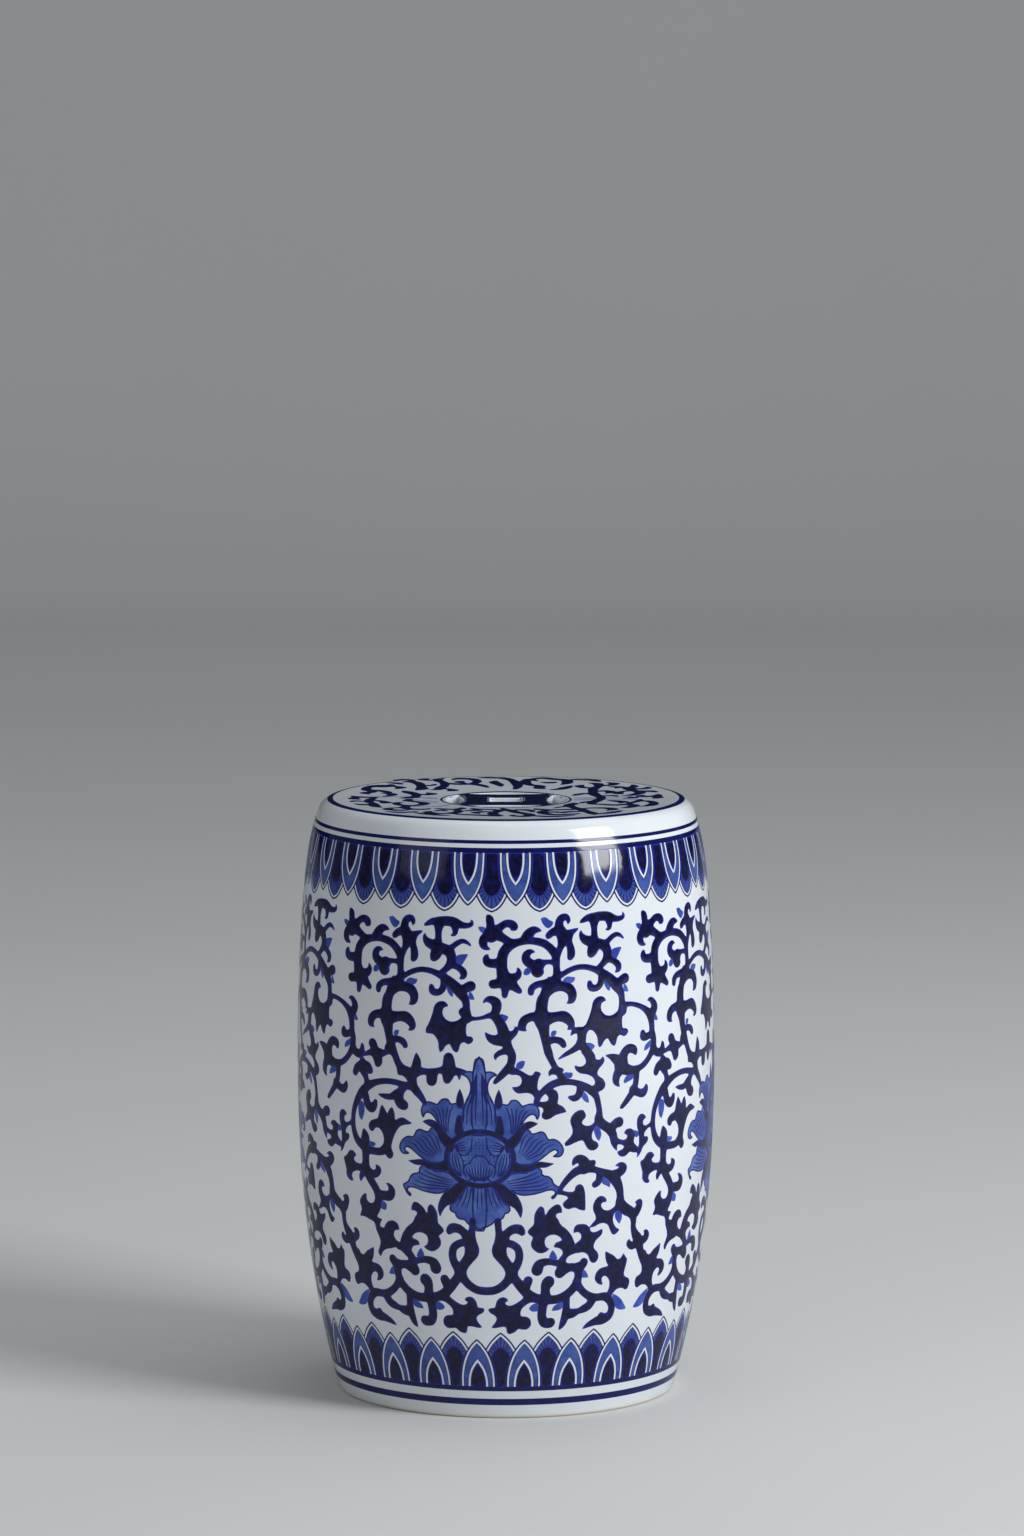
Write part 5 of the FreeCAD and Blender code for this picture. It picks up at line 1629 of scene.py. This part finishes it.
def paint_lotus_lines(sheet):
    """The fine lines: each petal's edge, its veins, and the shell and dots of the heart."""
    for petal in both_sides(LOTUS_PETALS):
        edge = curve_through(petal, closed=True)
        edge = np.concatenate([edge, edge[:1]])
        sheet.brush(np.column_stack([edge, np.full(len(edge), petal_edge_width)])[::3])
    lines = [vein for guides in LOTUS_VEINS for vein in veins_between(*guides)]
    lines += [[(across, up, vein_width) for across, up in edge] for edge in HEART_EDGES]
    for line in both_sides(lines):
        sheet.brush(line)
    low = HEART_EDGES[0][0][1] - heart_dots_inset[0]
    high = LOTUS_HEART[0][1] + LOTUS_HEART[1][1] - heart_dots_inset[1]
    least_reach, reach_growth = heart_dots_reach
    shell_width, shell_height = heart_shell_radii
    for row, up in enumerate(np.arange(low, high, heart_dot_spacing * heart_dot_row_share)):
        reach = reach_growth * (high - up) / (high - low) + least_reach
        for across in np.arange(-reach, reach, heart_dot_spacing) + heart_dot_spacing / 2 * (row % 2):
            if math.hypot(across / shell_width, (up - heart_shell_level) / shell_height) > 1.0:
                ends = (LOTUS_AXIS + across, LOTUS_AXIS + across + heart_dot_length)
                sheet.brush([(end, up, heart_dot_width) for end in ends])
    sheet.soften()


def paint_lotus_dark(sheet):
    """The dark ring round the heart and the sepals."""
    for sepal in both_sides(LOTUS_SEPALS):
        sheet.fill(sepal)
    ring = ellipse(LOTUS_HEART[0], [(a + b) / 2 for a, b in zip(LOTUS_HEART[1], LOTUS_HEART[2])])
    width = LOTUS_HEART[2][0] - LOTUS_HEART[1][0] + heart_ring_spare
    sheet.brush([(across, up, width) for across, up in ring + ring[:1]])
    sheet.soften()


def arch(half_outline, tip, line, down, middle=0.0):
    """A petal's outline, from its half outline: it hangs from its line or stands on it."""
    sign = -1 if down else 1
    right = [(middle + across, line + sign * up) for across, up in half_outline]
    left = [(middle - across, line + sign * up) for across, up in reversed(half_outline)]
    root = [(side[0], line - sign * border_root, 0) for side in (right[0], left[-1])]
    return [root[0]] + right + [(middle, line + sign * tip, 0)] + left + [root[1]]


def border_parts(border, down):
    """The painted parts of a band of petals, as a field for each finish."""
    pitch = wall_length / border["petals"]
    line, sign = border["line"], -1 if down else 1
    low, high = sorted((line - sign * border_line_margin,
                        line + sign * (border["back_tip"] + border_tip_margin)))

    def petals(part, middle):
        sheet = Sheet(-pitch / 2, pitch / 2, low, high, border_cell, pitch)
        sheet.field[:] = pitch
        outline = arch(border[part], border[part + "_tip"], line, down, middle)
        for placed in sheet.copies(curve_through(outline, True, BORDER_CURVE_STEPS)):
            here = sheet.outline_field(placed, sheet.across[None, :], sheet.up[:, None])
            sheet.field = np.minimum(sheet.field, here)
        sheet.field[:, -1] = sheet.field[:, 0]
        return sheet.field

    front, inner, back, tongue = (petals(part, middle) for part, middle in (
        ("front", 0.0), ("inner", 0.0), ("back", pitch / 2), ("tongue", pitch / 2)))
    rays = Sheet(-pitch / 2, pitch / 2, low, high, border_cell, pitch)
    root = line + sign * (border["tongue_tip"] - border_ray_root)
    for number in range(border_ray_count):
        lean = (number / (border_ray_count - 1) - 0.5) * 2 * border_ray_spread
        across, up = math.sin(lean), sign * math.cos(lean)
        rays.brush([(pitch / 2 + reach * across, root + reach * up, border_ray_width)
                    for reach in border_ray_reaches])
    behind = border_outline_width - front
    back_wash = np.maximum(back + border["outer_white"], behind)
    back_line = np.maximum(np.maximum(back - border_outline_width, -back), behind)
    ray_lines = np.maximum(np.maximum(rays.field, back_wash), -tongue)
    hanging = sign * (line - rays.up[:, None])
    for finish, field in (
            ("cobalt_dark", np.minimum(inner + border["inner_white"], np.maximum(tongue, behind))),
            ("petal_band", np.maximum(front + border["outer_white"], -inner)),
            ("cobalt_line", np.minimum(np.maximum(front - border_outline_width, -front),
                                       np.minimum(back_line, ray_lines))),
            ("petal_pale", np.maximum(back_wash, -tongue_overlap - tongue))):
        sheet = Sheet(-pitch / 2, pitch / 2, low, high, border_cell, pitch)
        sheet.field = np.clip(np.maximum(field, hanging), -Sheet.DEEPEST, Sheet.REACH)
        sheet.field[:, -1] = sheet.field[:, 0]
        yield finish, sheet


class StoolSizes(bpy.types.PropertyGroup):
    """Sizes of the painting, in millimetres."""

    paint_relief: bpy.props.FloatProperty(
        name="Paint relief", description="How far the cobalt stands off the clay, in millimetres",
        default=0.15, min=0.05, max=0.4)
    paint_root: bpy.props.FloatProperty(
        name="Paint root", description="How deep the underside of the paint is in the clay, in millimetres",
        default=0.3, min=0.1, max=2.0)
    hole_rounding: bpy.props.FloatProperty(
        name="Rounding of the openings", description="Radius of the coin's edges, in millimetres",
        default=1.8, min=0.5, max=5.0)
    brush_cell: bpy.props.FloatProperty(
        name="Brush grid", description="How finely the brushwork is worked out, in millimetres",
        default=0.6, min=0.2, max=2.0)


def colour_property(name, description, colour):
    """A colour that a user can change, given in sRGB and kept as the shader takes it."""
    return bpy.props.FloatVectorProperty(name=name, description=description, subtype="COLOR", size=4,
                                         min=0.0, max=1.0, default=linear(colour))


class StoolColours(bpy.types.PropertyGroup):
    """Colours of the glaze, the cobalt and the setting."""

    glaze: colour_property("Glaze", "Bluish white glaze", (0.885, 0.9, 0.915))
    glaze_shade: colour_property("Glaze shade", "Glaze where it lies thicker", (0.83, 0.86, 0.885))
    pinhole: colour_property("Pinhole", "Specks in the glaze", (0.45, 0.45, 0.47))
    cobalt: colour_property("Cobalt", "Pooled cobalt of the scroll", (0.03, 0.022, 0.125))
    cobalt_streak: colour_property("Cobalt streak", "Thinner cobalt in the scroll", (0.06, 0.06, 0.26))
    cobalt_edge: colour_property("Cobalt edge", "Bluer edge of each stroke", (0.15, 0.19, 0.62))
    line: colour_property("Line", "Painted rings and outlines", (0.035, 0.06, 0.31))
    line_streak: colour_property("Line streak", "Thinner places in the lines", (0.07, 0.11, 0.41))
    bud: colour_property("Bud", "Blue buds", (0.16, 0.25, 0.6))
    bud_pale: colour_property("Bud, pale", "Paler places in the buds", (0.3, 0.4, 0.74))
    wash: colour_property("Lotus wash", "Blue wash of the lotus", (0.21, 0.31, 0.63))
    wash_pale: colour_property("Lotus wash, pale", "Paler wash", (0.37, 0.49, 0.77))
    wash_edge: colour_property("Lotus wash, edge", "Darker wash at the petals' edges", (0.14, 0.2, 0.5))
    petal: colour_property("Border band", "Blue band of the border's petals", (0.24, 0.34, 0.62))
    petal_pale: colour_property("Border band, pale", "Paler places in the bands", (0.32, 0.41, 0.68))
    petal_light: colour_property("Border wash", "Pale wash in the petals behind", (0.23, 0.31, 0.61))
    clay: colour_property("Clay", "Unglazed clay", (0.8, 0.77, 0.72))
    clay_bloom: colour_property("Clay bloom", "Warmer patches of the clay", (0.72, 0.64, 0.55))
    clay_speck: colour_property("Clay speck", "Specks in the clay", (0.5, 0.43, 0.37))
    slip: colour_property("Slip", "Slip in the joins", (0.76, 0.73, 0.69))
    floor: colour_property("Floor", "Floor and backdrop", (0.86, 0.86, 0.855))
    # Painted reflection: the colour that the floor and backdrop take only in the glaze, standing in for a
    # dark room that the scene does not hold
    room: colour_property("Room", "What the glaze reflects of the room behind", (0.16, 0.21, 0.25))
    floor_shade: colour_property("Floor, patches", "Faint patches in the floor", (0.84, 0.84, 0.835))


def two_faced_piece(name, vertices, faces, bare, inside="bare_clay"):
    """A glazed solid with another finish where bare says so, from a face's radius and level."""
    middles = [np.mean([vertices[corner] for corner in face], axis=0) for face in faces]
    chosen = [int(bare(math.hypot(x, y), level)) for x, y, level in middles]
    return piece_from(name, vertices, faces, [finish_named("white_glaze"), finish_named(inside)],
                      fired_smooth_angle, chosen)


def under_wall(radius, level):
    """True for a face that is not on the drum's outside."""
    return radius < wall_radius(level) - inner_face_margin


def under_foot(radius, level):
    """True for a face of the foot that is not on its outside, or is on its rim."""
    return level <= foot_bare_height or under_wall(radius, max(level, foot_centre[1]))


def under_shoulder(radius, level):
    """True for a face of the shoulder that is under its roll."""
    if level < shoulder_centre[1]:
        return under_wall(radius, level)
    return math.dist((radius, level), shoulder_centre) < shoulder_radius - inner_face_margin


def under_seat_join(radius, level):
    """True for a face of the seat's slip that is not in the narrow joint round the disc."""
    return level < seat_ledge_level + 3 * slip_thickness


def everywhere(radius, level):
    """True for every face of a coil, which is never glazed."""
    return True


def edge_drop(depth, rounding):
    """How far an opening's rounded edge has dropped at a distance in from the opening."""
    return rounding - np.sqrt(rounding ** 2 - np.clip(rounding - depth, 0, rounding) ** 2)


def opening_field(x, y):
    """The distance from the coin's openings: negative in the clay and positive in a hole."""
    half, corner = coin_hole_width / 2, coin_hole_corner_radius
    over_x, over_y = np.abs(x) - half + corner, np.abs(y) - half + corner
    square = (np.hypot(np.maximum(over_x, 0), np.maximum(over_y, 0))
              + np.minimum(np.maximum(over_x, over_y), 0) - corner)
    tip = math.sqrt(lens_outer_radius ** 2 - lens_half_length ** 2)
    inner_centre = (lens_outer_radius ** 2 - lens_inner_reach ** 2) / (2 * (tip - lens_inner_reach))
    holes = [square]
    for turn in range(lens_count):
        angle = turn * FULL_TURN / lens_count
        along = x * math.cos(angle) + y * math.sin(angle)
        aside = y * math.cos(angle) - x * math.sin(angle)
        lens = np.maximum(np.hypot(along, aside) - lens_outer_radius,
                          np.hypot(along - inner_centre, aside) - inner_centre + lens_inner_reach)
        holes.append(np.where(along > 0, lens, Sheet.DEEPEST * 3))
    return -np.minimum.reduce(holes)


class STOOL_OT_fired_sections(bpy.types.Operator):
    """Make the foot, the two barrels and the shoulder as glazed sections"""

    bl_idname = "stool.fired_sections"
    bl_label = "Fired sections"

    def execute(self, context):
        lower, upper = (barrel_section(*seams) for seams in (
            (foot_seam_level, waist_seam_level), (waist_seam_level, shoulder_seam_level)))
        for name, section, node, bare in (
                ("foot_glazed", foot_section(), "foot_ring", under_foot),
                ("lower_barrel_glazed", lower, "lower_barrel", under_wall),
                ("upper_barrel_glazed", upper, "upper_barrel", under_wall),
                ("shoulder_glazed", shoulder_section(), "shoulder_ring", under_shoulder)):
            finished(two_faced_piece(name, *turned(section), bare), "glazed_ceramic", node)
        return {"FINISHED"}


class STOOL_OT_joins(bpy.types.Operator):
    """Make the slip in the joins and the coils pressed over them inside"""

    bl_idname = "stool.joins"
    bl_label = "Joins"

    def execute(self, context):
        for name, section, node, slot, bare in (
                ("foot_join", lap_slip_section(foot_seam_level), "foot_slip", "joining_slip", under_wall),
                ("waist_join", lap_slip_section(waist_seam_level), "waist_slip", "joining_slip", under_wall),
                ("shoulder_join", lap_slip_section(shoulder_seam_level), "shoulder_slip", "joining_slip",
                 under_wall),
                ("seat_join", seat_slip_section(), "seat_slip", "joining_slip", under_seat_join),
                ("waist_coil_pressed", waist_coil_section(), "waist_coil", "bare_clay", everywhere),
                ("seat_coil_pressed", seat_coil_section(), "seat_coil", "bare_clay", everywhere)):
            finished(two_faced_piece(name, *turned(section), bare, slot), slot, node)
        return {"FINISHED"}


class STOOL_OT_pierced_seat(bpy.types.Operator):
    """Make the dished seat with its pierced coin, and round the edges of its openings"""

    bl_idname = "stool.pierced_seat"
    bl_label = "Pierced seat"

    def execute(self, context):
        rounding = context.scene.stool_sizes.hole_rounding
        reach = coin_field_radius + coin_margin
        sheet = Sheet(-reach, reach, -reach, reach, coin_cell)
        openings = opening_field(sheet.across[None, :], sheet.up[:, None])
        sheet.field = np.clip(openings, -Sheet.DEEPEST, Sheet.REACH)
        sheet.soften(2)
        angles = np.arange(TURN_STEPS) * FULL_TURN / TURN_STEPS
        border = np.stack([coin_field_radius * np.cos(angles), coin_field_radius * np.sin(angles)], axis=1)
        steps = [rounding * (1 - math.cos(QUARTER_TURN * step / EDGE_STEPS))
                 for step in range(EDGE_STEPS + 1)]
        cut = cut_out(sheet, steps, pierced_ring_gap, pierced_grid_gap, border)
        field_level = seat_top_level(0.0)
        coin_vertices, coin_faces, _ = solid_from(
            cut,
            lambda points, depth: np.column_stack([points, field_level - edge_drop(depth, rounding)]),
            lambda points, depth: np.column_stack([points, seat_underside + edge_drop(depth, rounding / 2)]))
        boss_face, disc_ledge = seat_boss_radius - slip_thickness, seat_ledge_level + slip_thickness
        dish = [(radius, seat_top_level(radius))
                for radius in np.linspace(disc_radius, coin_field_radius, DISH_STEPS)]
        section = [(coin_field_radius, seat_underside), (boss_face, seat_underside), (boss_face, disc_ledge),
                   (disc_radius, disc_ledge)] + dish
        vertices, faces = turned(section, closed=False)
        start = len(coin_vertices)
        vertices = np.concatenate([coin_vertices, vertices])
        faces = list(coin_faces) + [tuple(corner + start for corner in face) for face in faces]
        vertices, faces = welded(vertices, faces)
        piece = two_faced_piece("seat_glazed", vertices, faces,
                                lambda radius, level: level < seat_underside + LEAST_GAP)
        finished(piece, "glazed_ceramic", "seat_disc")
        return {"FINISHED"}


def welded(vertices, faces):
    """Vertices and faces with the vertices that stand in one place made one."""
    keys = {}
    number = np.empty(len(vertices), dtype=int)
    kept = []
    for place, vertex in enumerate(np.round(np.asarray(vertices) / SEAT_WELD).astype(int).tolist()):
        key = tuple(vertex)
        if key not in keys:
            keys[key] = len(kept)
            kept.append(place)
        number[place] = keys[key]
    welded_faces = [tuple(dict.fromkeys(int(number[corner]) for corner in face)) for face in faces]
    return np.asarray(vertices)[kept], [face for face in welded_faces if len(face) > 2]


def wall_painting(name, sheet, finish, layer, sizes):
    """One layer of paint round the wall, a motif to each lotus."""
    cut = cut_out(sheet, *POINT_RINGS[name], wall_grid_gap)
    solid = painted_solid(cut, on_wall, sizes, layer)
    finished(repeated(name, solid, lotus_count, finish_named(finish)), "glazed_ceramic")


class STOOL_OT_scroll(bpy.types.Operator):
    """Paint the scroll of leaves and hooks, with its buds, round the wall"""

    bl_idname = "stool.scroll"
    bl_label = "Scroll"

    def execute(self, context):
        sizes = context.scene.stool_sizes
        sheet = scroll_sheet(sizes.brush_cell)
        paint_scroll(sheet)
        cut = cut_out(sheet, *POINT_RINGS["scroll"], wall_grid_gap)
        for name, chosen in (("scroll_upper_tier", lambda centre: centre[1] >= upper_tier_level),
                             ("scroll_lower_tiers", lambda centre: centre[1] < upper_tier_level)):
            solid = painted_solid(cut, on_wall, sizes, chosen=chosen)
            finished(repeated(name, solid, lotus_count, finish_named("cobalt_dark")), "glazed_ceramic")
        buds = scroll_sheet(sizes.brush_cell)
        paint_buds(buds)
        wall_painting("scroll_buds", buds, "cobalt_bud", "bud", sizes)
        return {"FINISHED"}


class STOOL_OT_lotus(bpy.types.Operator):
    """Paint the four lotus flowers in wash, fine lines and dark sepals"""

    bl_idname = "stool.lotus"
    bl_label = "Lotus flowers"

    def execute(self, context):
        for name, paint, finish, layer in (
                ("lotus_wash", paint_lotus_wash, "lotus_wash", "wash"),
                ("lotus_lines", paint_lotus_lines, "cobalt_line", "line"),
                ("lotus_sepals", paint_lotus_dark, "cobalt_dark", "sepal")):
            sheet = Sheet(*lotus_window, lotus_cell)
            paint(sheet)
            wall_painting(name, sheet, finish, layer, context.scene.stool_sizes)
        return {"FINISHED"}


class STOOL_OT_petal_borders(bpy.types.Operator):
    """Paint the bands of petals under the shoulder and over the foot"""

    bl_idname = "stool.petal_borders"
    bl_label = "Petal borders"

    def execute(self, context):
        sizes = context.scene.stool_sizes
        for place, border, down in (("shoulder", TOP_BORDER, True), ("foot", FOOT_BORDER, False)):
            turn = math.radians(border["middle"]) - lotus_turn
            for finish, sheet in border_parts(border, down):
                layer = {"cobalt_line": "line", "cobalt_dark": "dark"}.get(finish, "wash")
                cut = cut_out(sheet, *POINT_RINGS["border"], wall_grid_gap)
                cut = cut._replace(points=cut.points + np.array([turn * belly_radius, 0.0]))
                solid = painted_solid(cut, on_wall, sizes, layer)
                name = "%s_border_%s" % (place, finish)
                finished(repeated(name, solid, border["petals"], finish_named(finish)), "glazed_ceramic")
        return {"FINISHED"}


class STOOL_OT_painted_lines(bpy.types.Operator):
    """Paint the rings round the wall, the seat's edge and the coin"""

    bl_idname = "stool.painted_lines"
    bl_label = "Painted lines"

    def execute(self, context):
        sizes = context.scene.stool_sizes
        relief, root = sizes.paint_relief, sizes.paint_root

        def rise(place, places):
            return relief * (ring_edge_share if place in (places[0], places[-1]) else 1.0)

        for number, ends in enumerate(WALL_LINES):
            levels = np.linspace(*ends, LINE_STEPS)
            face = [(wall_radius(level) + rise(level, levels), level) for level in levels]
            back = [(wall_radius(level) - root, level) for level in levels[::-1]]
            self.ring("wall_line_%d" % (number + 1), face + back)
        seat_radii = np.linspace(*seat_line, LINE_STEPS)
        for name, radii, back_radii, height in (
                ("seat_line", seat_radii, seat_radii, crest_level),
                ("coin_line", np.linspace(*coin_line, 3), coin_line, seat_top_level)):
            face = [(radius, height(radius) + rise(radius, radii)) for radius in radii]
            back = [(radius, height(radius) - root) for radius in back_radii[::-1]]
            self.ring(name, face + back)
        return {"FINISHED"}

    def ring(self, name, section):
        """One painted ring."""
        vertices, faces = turned(section)
        depth = np.ones(len(vertices))
        finished(piece_from(name, vertices, faces, [finish_named("cobalt_line")], depth=depth),
                 "glazed_ceramic")


def crest_level(radius):
    """The height of the seat's dish and of the shoulder's roll at a radius."""
    if radius <= crest_radius:
        return seat_top_level(radius)
    return shoulder_centre[1] + math.sqrt(shoulder_radius ** 2 - (radius - shoulder_centre[0]) ** 2)


class STOOL_OT_seat_painting(bpy.types.Operator):
    """Paint the scroll round the seat and the dark field of the coin"""

    bl_idname = "stool.seat_painting"
    bl_label = "Seat painting"

    def execute(self, context):
        sizes = context.scene.stool_sizes

        def on_seat(points, lift):
            level = [seat_top_level(math.hypot(*point)) for point in points]
            return np.column_stack([points, np.array(level) + lift])

        def on_coin(points, lift):
            level = seat_top_level(0.0) - edge_drop(-opening_field(*points.T), sizes.hole_rounding)
            return np.column_stack([points, level + lift])

        def seat_sheet(reach, cell):
            return Sheet(-reach, reach, -reach, reach, cell)

        scroll, veins = (seat_sheet(seat_scroll_reach, sizes.brush_cell) for _ in range(2))
        for stroke in SEAT_STROKES:
            scroll.brush(stroke, seat_stroke_share)
        for vein in SEAT_VEINS:
            veins.brush([(x, y, seat_vein_width) for x, y in vein])
        coin = seat_sheet(max(coin_paint_reach) + coin_margin, coin_cell)
        x, y = coin.across[None, :], coin.up[:, None]
        wide, deep = coin_paint_reach
        round_edge = (np.hypot(x / wide, y / deep) - 1) * wide
        painted = np.maximum(round_edge, opening_field(x, y) + opening_white_rim)
        coin.field = np.clip(painted, -Sheet.DEEPEST, Sheet.REACH)
        for name, sheet, surface, finish, layer in (
                ("seat_scroll", scroll, on_seat, "cobalt_dark", "dark"),
                ("seat_veins", veins, on_seat, "cobalt_bud", "wash"),
                ("coin_field", coin, on_coin, "cobalt_dark", "dark")):
            sheet.soften(2)
            cut = cut_out(sheet, *POINT_RINGS[name], seat_grid_gap)
            vertices, faces, depth = painted_solid(cut, surface, sizes, layer)
            piece = piece_from(name, vertices, faces, [finish_named(finish)], depth=depth)
            finished(piece, "glazed_ceramic")
        return {"FINISHED"}


# The setting, in metres: the floor and its sweep up to the backdrop, the lamps, the room and the camera
floor_half_width, floor_near = 9.0, -9.0
wall_distance, sweep_radius, backdrop_height = 7.6, 1.8, 8.0
LAMPS = {
    "window_light": ((2.9, -1.9, 1.9), (0.0, 0.0, 0.25), (1.5, 2.0), 110.0, (0.96, 0.99, 1.0)),
    "room_light": ((-3.2, -2.6, 2.0), (0.0, 0.0, 0.25), (2.4, 2.2), 7.0, (1.0, 0.99, 0.97)),
    "top_light": ((0.6, 0.3, 3.4), (0.0, 0.0, 0.2), (2.6, 2.6), 20.0, (1.0, 1.0, 1.0)),
}
room_strength, room_glossy_strength = 0.31, 0.1
room_colour = (0.9, 0.95, 1.0, 1.0)
camera_place = (0.0, -5.208, 1.102)
camera_tilt = QUARTER_TURN - math.radians(6.895)
camera_lens, camera_sensor, camera_shift = 163.05, 36.0, 0.0039
camera_clip = (0.1, 60.0)


class STOOL_OT_setting(bpy.types.Operator):
    """Set the pale floor and backdrop, the soft light and the camera"""

    bl_idname = "stool.setting"
    bl_label = "Setting"

    def execute(self, context):
        scene = context.scene
        sweep_start = wall_distance - sweep_radius
        profile = [(floor_near, 0.0), (sweep_start, 0.0)]
        profile += [moved((sweep_start, sweep_radius), angle, sweep_radius)
                    for angle in np.linspace(-QUARTER_TURN, 0, SWEEP_STEPS)[1:]]
        profile.append((wall_distance, backdrop_height))
        vertices = [(side * floor_half_width, y, z) for side in (-1, 1) for y, z in profile]
        count = len(profile)
        faces = [(place, count + place, count + place + 1, place + 1) for place in range(count - 1)]
        piece_from("floor", np.array(vertices) / MM, faces, [finish_named("pale_floor")])
        for name, lamp in LAMPS.items():
            self.lamp(name, *lamp)

        world = bpy.data.worlds.new("soft_room")
        world.use_nodes = True
        nodes, links = world.node_tree.nodes, world.node_tree.links
        ray = nodes.new("ShaderNodeLightPath")
        strength = nodes.new("ShaderNodeMapRange")
        strength.inputs["To Min"].default_value = room_strength
        strength.inputs["To Max"].default_value = room_glossy_strength
        links.new(ray.outputs["Is Glossy Ray"], strength.inputs["Value"])
        links.new(strength.outputs[0], nodes["Background"].inputs["Strength"])
        nodes["Background"].inputs["Color"].default_value = room_colour
        scene.world = world
        scene.view_settings.view_transform = "Standard"

        data = bpy.data.cameras.new("camera")
        data.sensor_fit = "AUTO"
        data.sensor_width, data.lens, data.shift_x = camera_sensor, camera_lens, camera_shift
        data.clip_start, data.clip_end = camera_clip
        camera = bpy.data.objects.new("camera", data)
        camera.location = camera_place
        camera.rotation_euler = (camera_tilt, 0.0, 0.0)
        scene.collection.objects.link(camera)
        scene.camera = camera
        return {"FINISHED"}

    def lamp(self, name, place, target, size, power, colour):
        """A soft area lamp that faces the stool."""
        data = bpy.data.lights.new(name, "AREA")
        data.shape = "RECTANGLE"
        data.size, data.size_y = size
        data.energy, data.color = power, colour
        lamp = bpy.data.objects.new(name, data)
        lamp.location = place
        lamp.rotation_euler = (Vector(target) - Vector(place)).to_track_quat("-Z", "Y").to_euler()
        bpy.context.scene.collection.objects.link(lamp)


OPERATORS = (
    STOOL_OT_fired_sections,
    STOOL_OT_joins,
    STOOL_OT_pierced_seat,
    STOOL_OT_scroll,
    STOOL_OT_lotus,
    STOOL_OT_petal_borders,
    STOOL_OT_painted_lines,
    STOOL_OT_seat_painting,
    STOOL_OT_setting,
)


class STOOL_PT_build(bpy.types.Panel):
    """Lists the steps and what a user can change"""

    bl_label = "Garden stool"
    bl_idname = "STOOL_PT_build"
    bl_space_type = "VIEW_3D"
    bl_region_type = "UI"
    bl_category = "Stool"

    def draw(self, context):
        for group in (context.scene.stool_sizes, context.scene.stool_colours):
            box = self.layout.box()
            for name in group.bl_rna.properties.keys():
                if name not in ("rna_type", "name"):
                    box.prop(group, name)
        for operator in OPERATORS:
            self.layout.operator(operator.bl_idname)


CLASSES = (StoolSizes, StoolColours) + OPERATORS + (STOOL_PT_build,)


def register():
    for made in CLASSES:
        bpy.utils.register_class(made)
    bpy.types.Scene.stool_sizes = bpy.props.PointerProperty(type=StoolSizes)
    bpy.types.Scene.stool_colours = bpy.props.PointerProperty(type=StoolColours)


def unregister():
    del bpy.types.Scene.stool_colours
    del bpy.types.Scene.stool_sizes
    for made in reversed(CLASSES):
        bpy.utils.unregister_class(made)


def main():
    """Registers the add-on and makes every piece in order."""
    register()
    for operator in OPERATORS:
        group, name = operator.bl_idname.split(".")
        getattr(getattr(bpy.ops, group), name)()


if __name__ == "__main__":
    main()
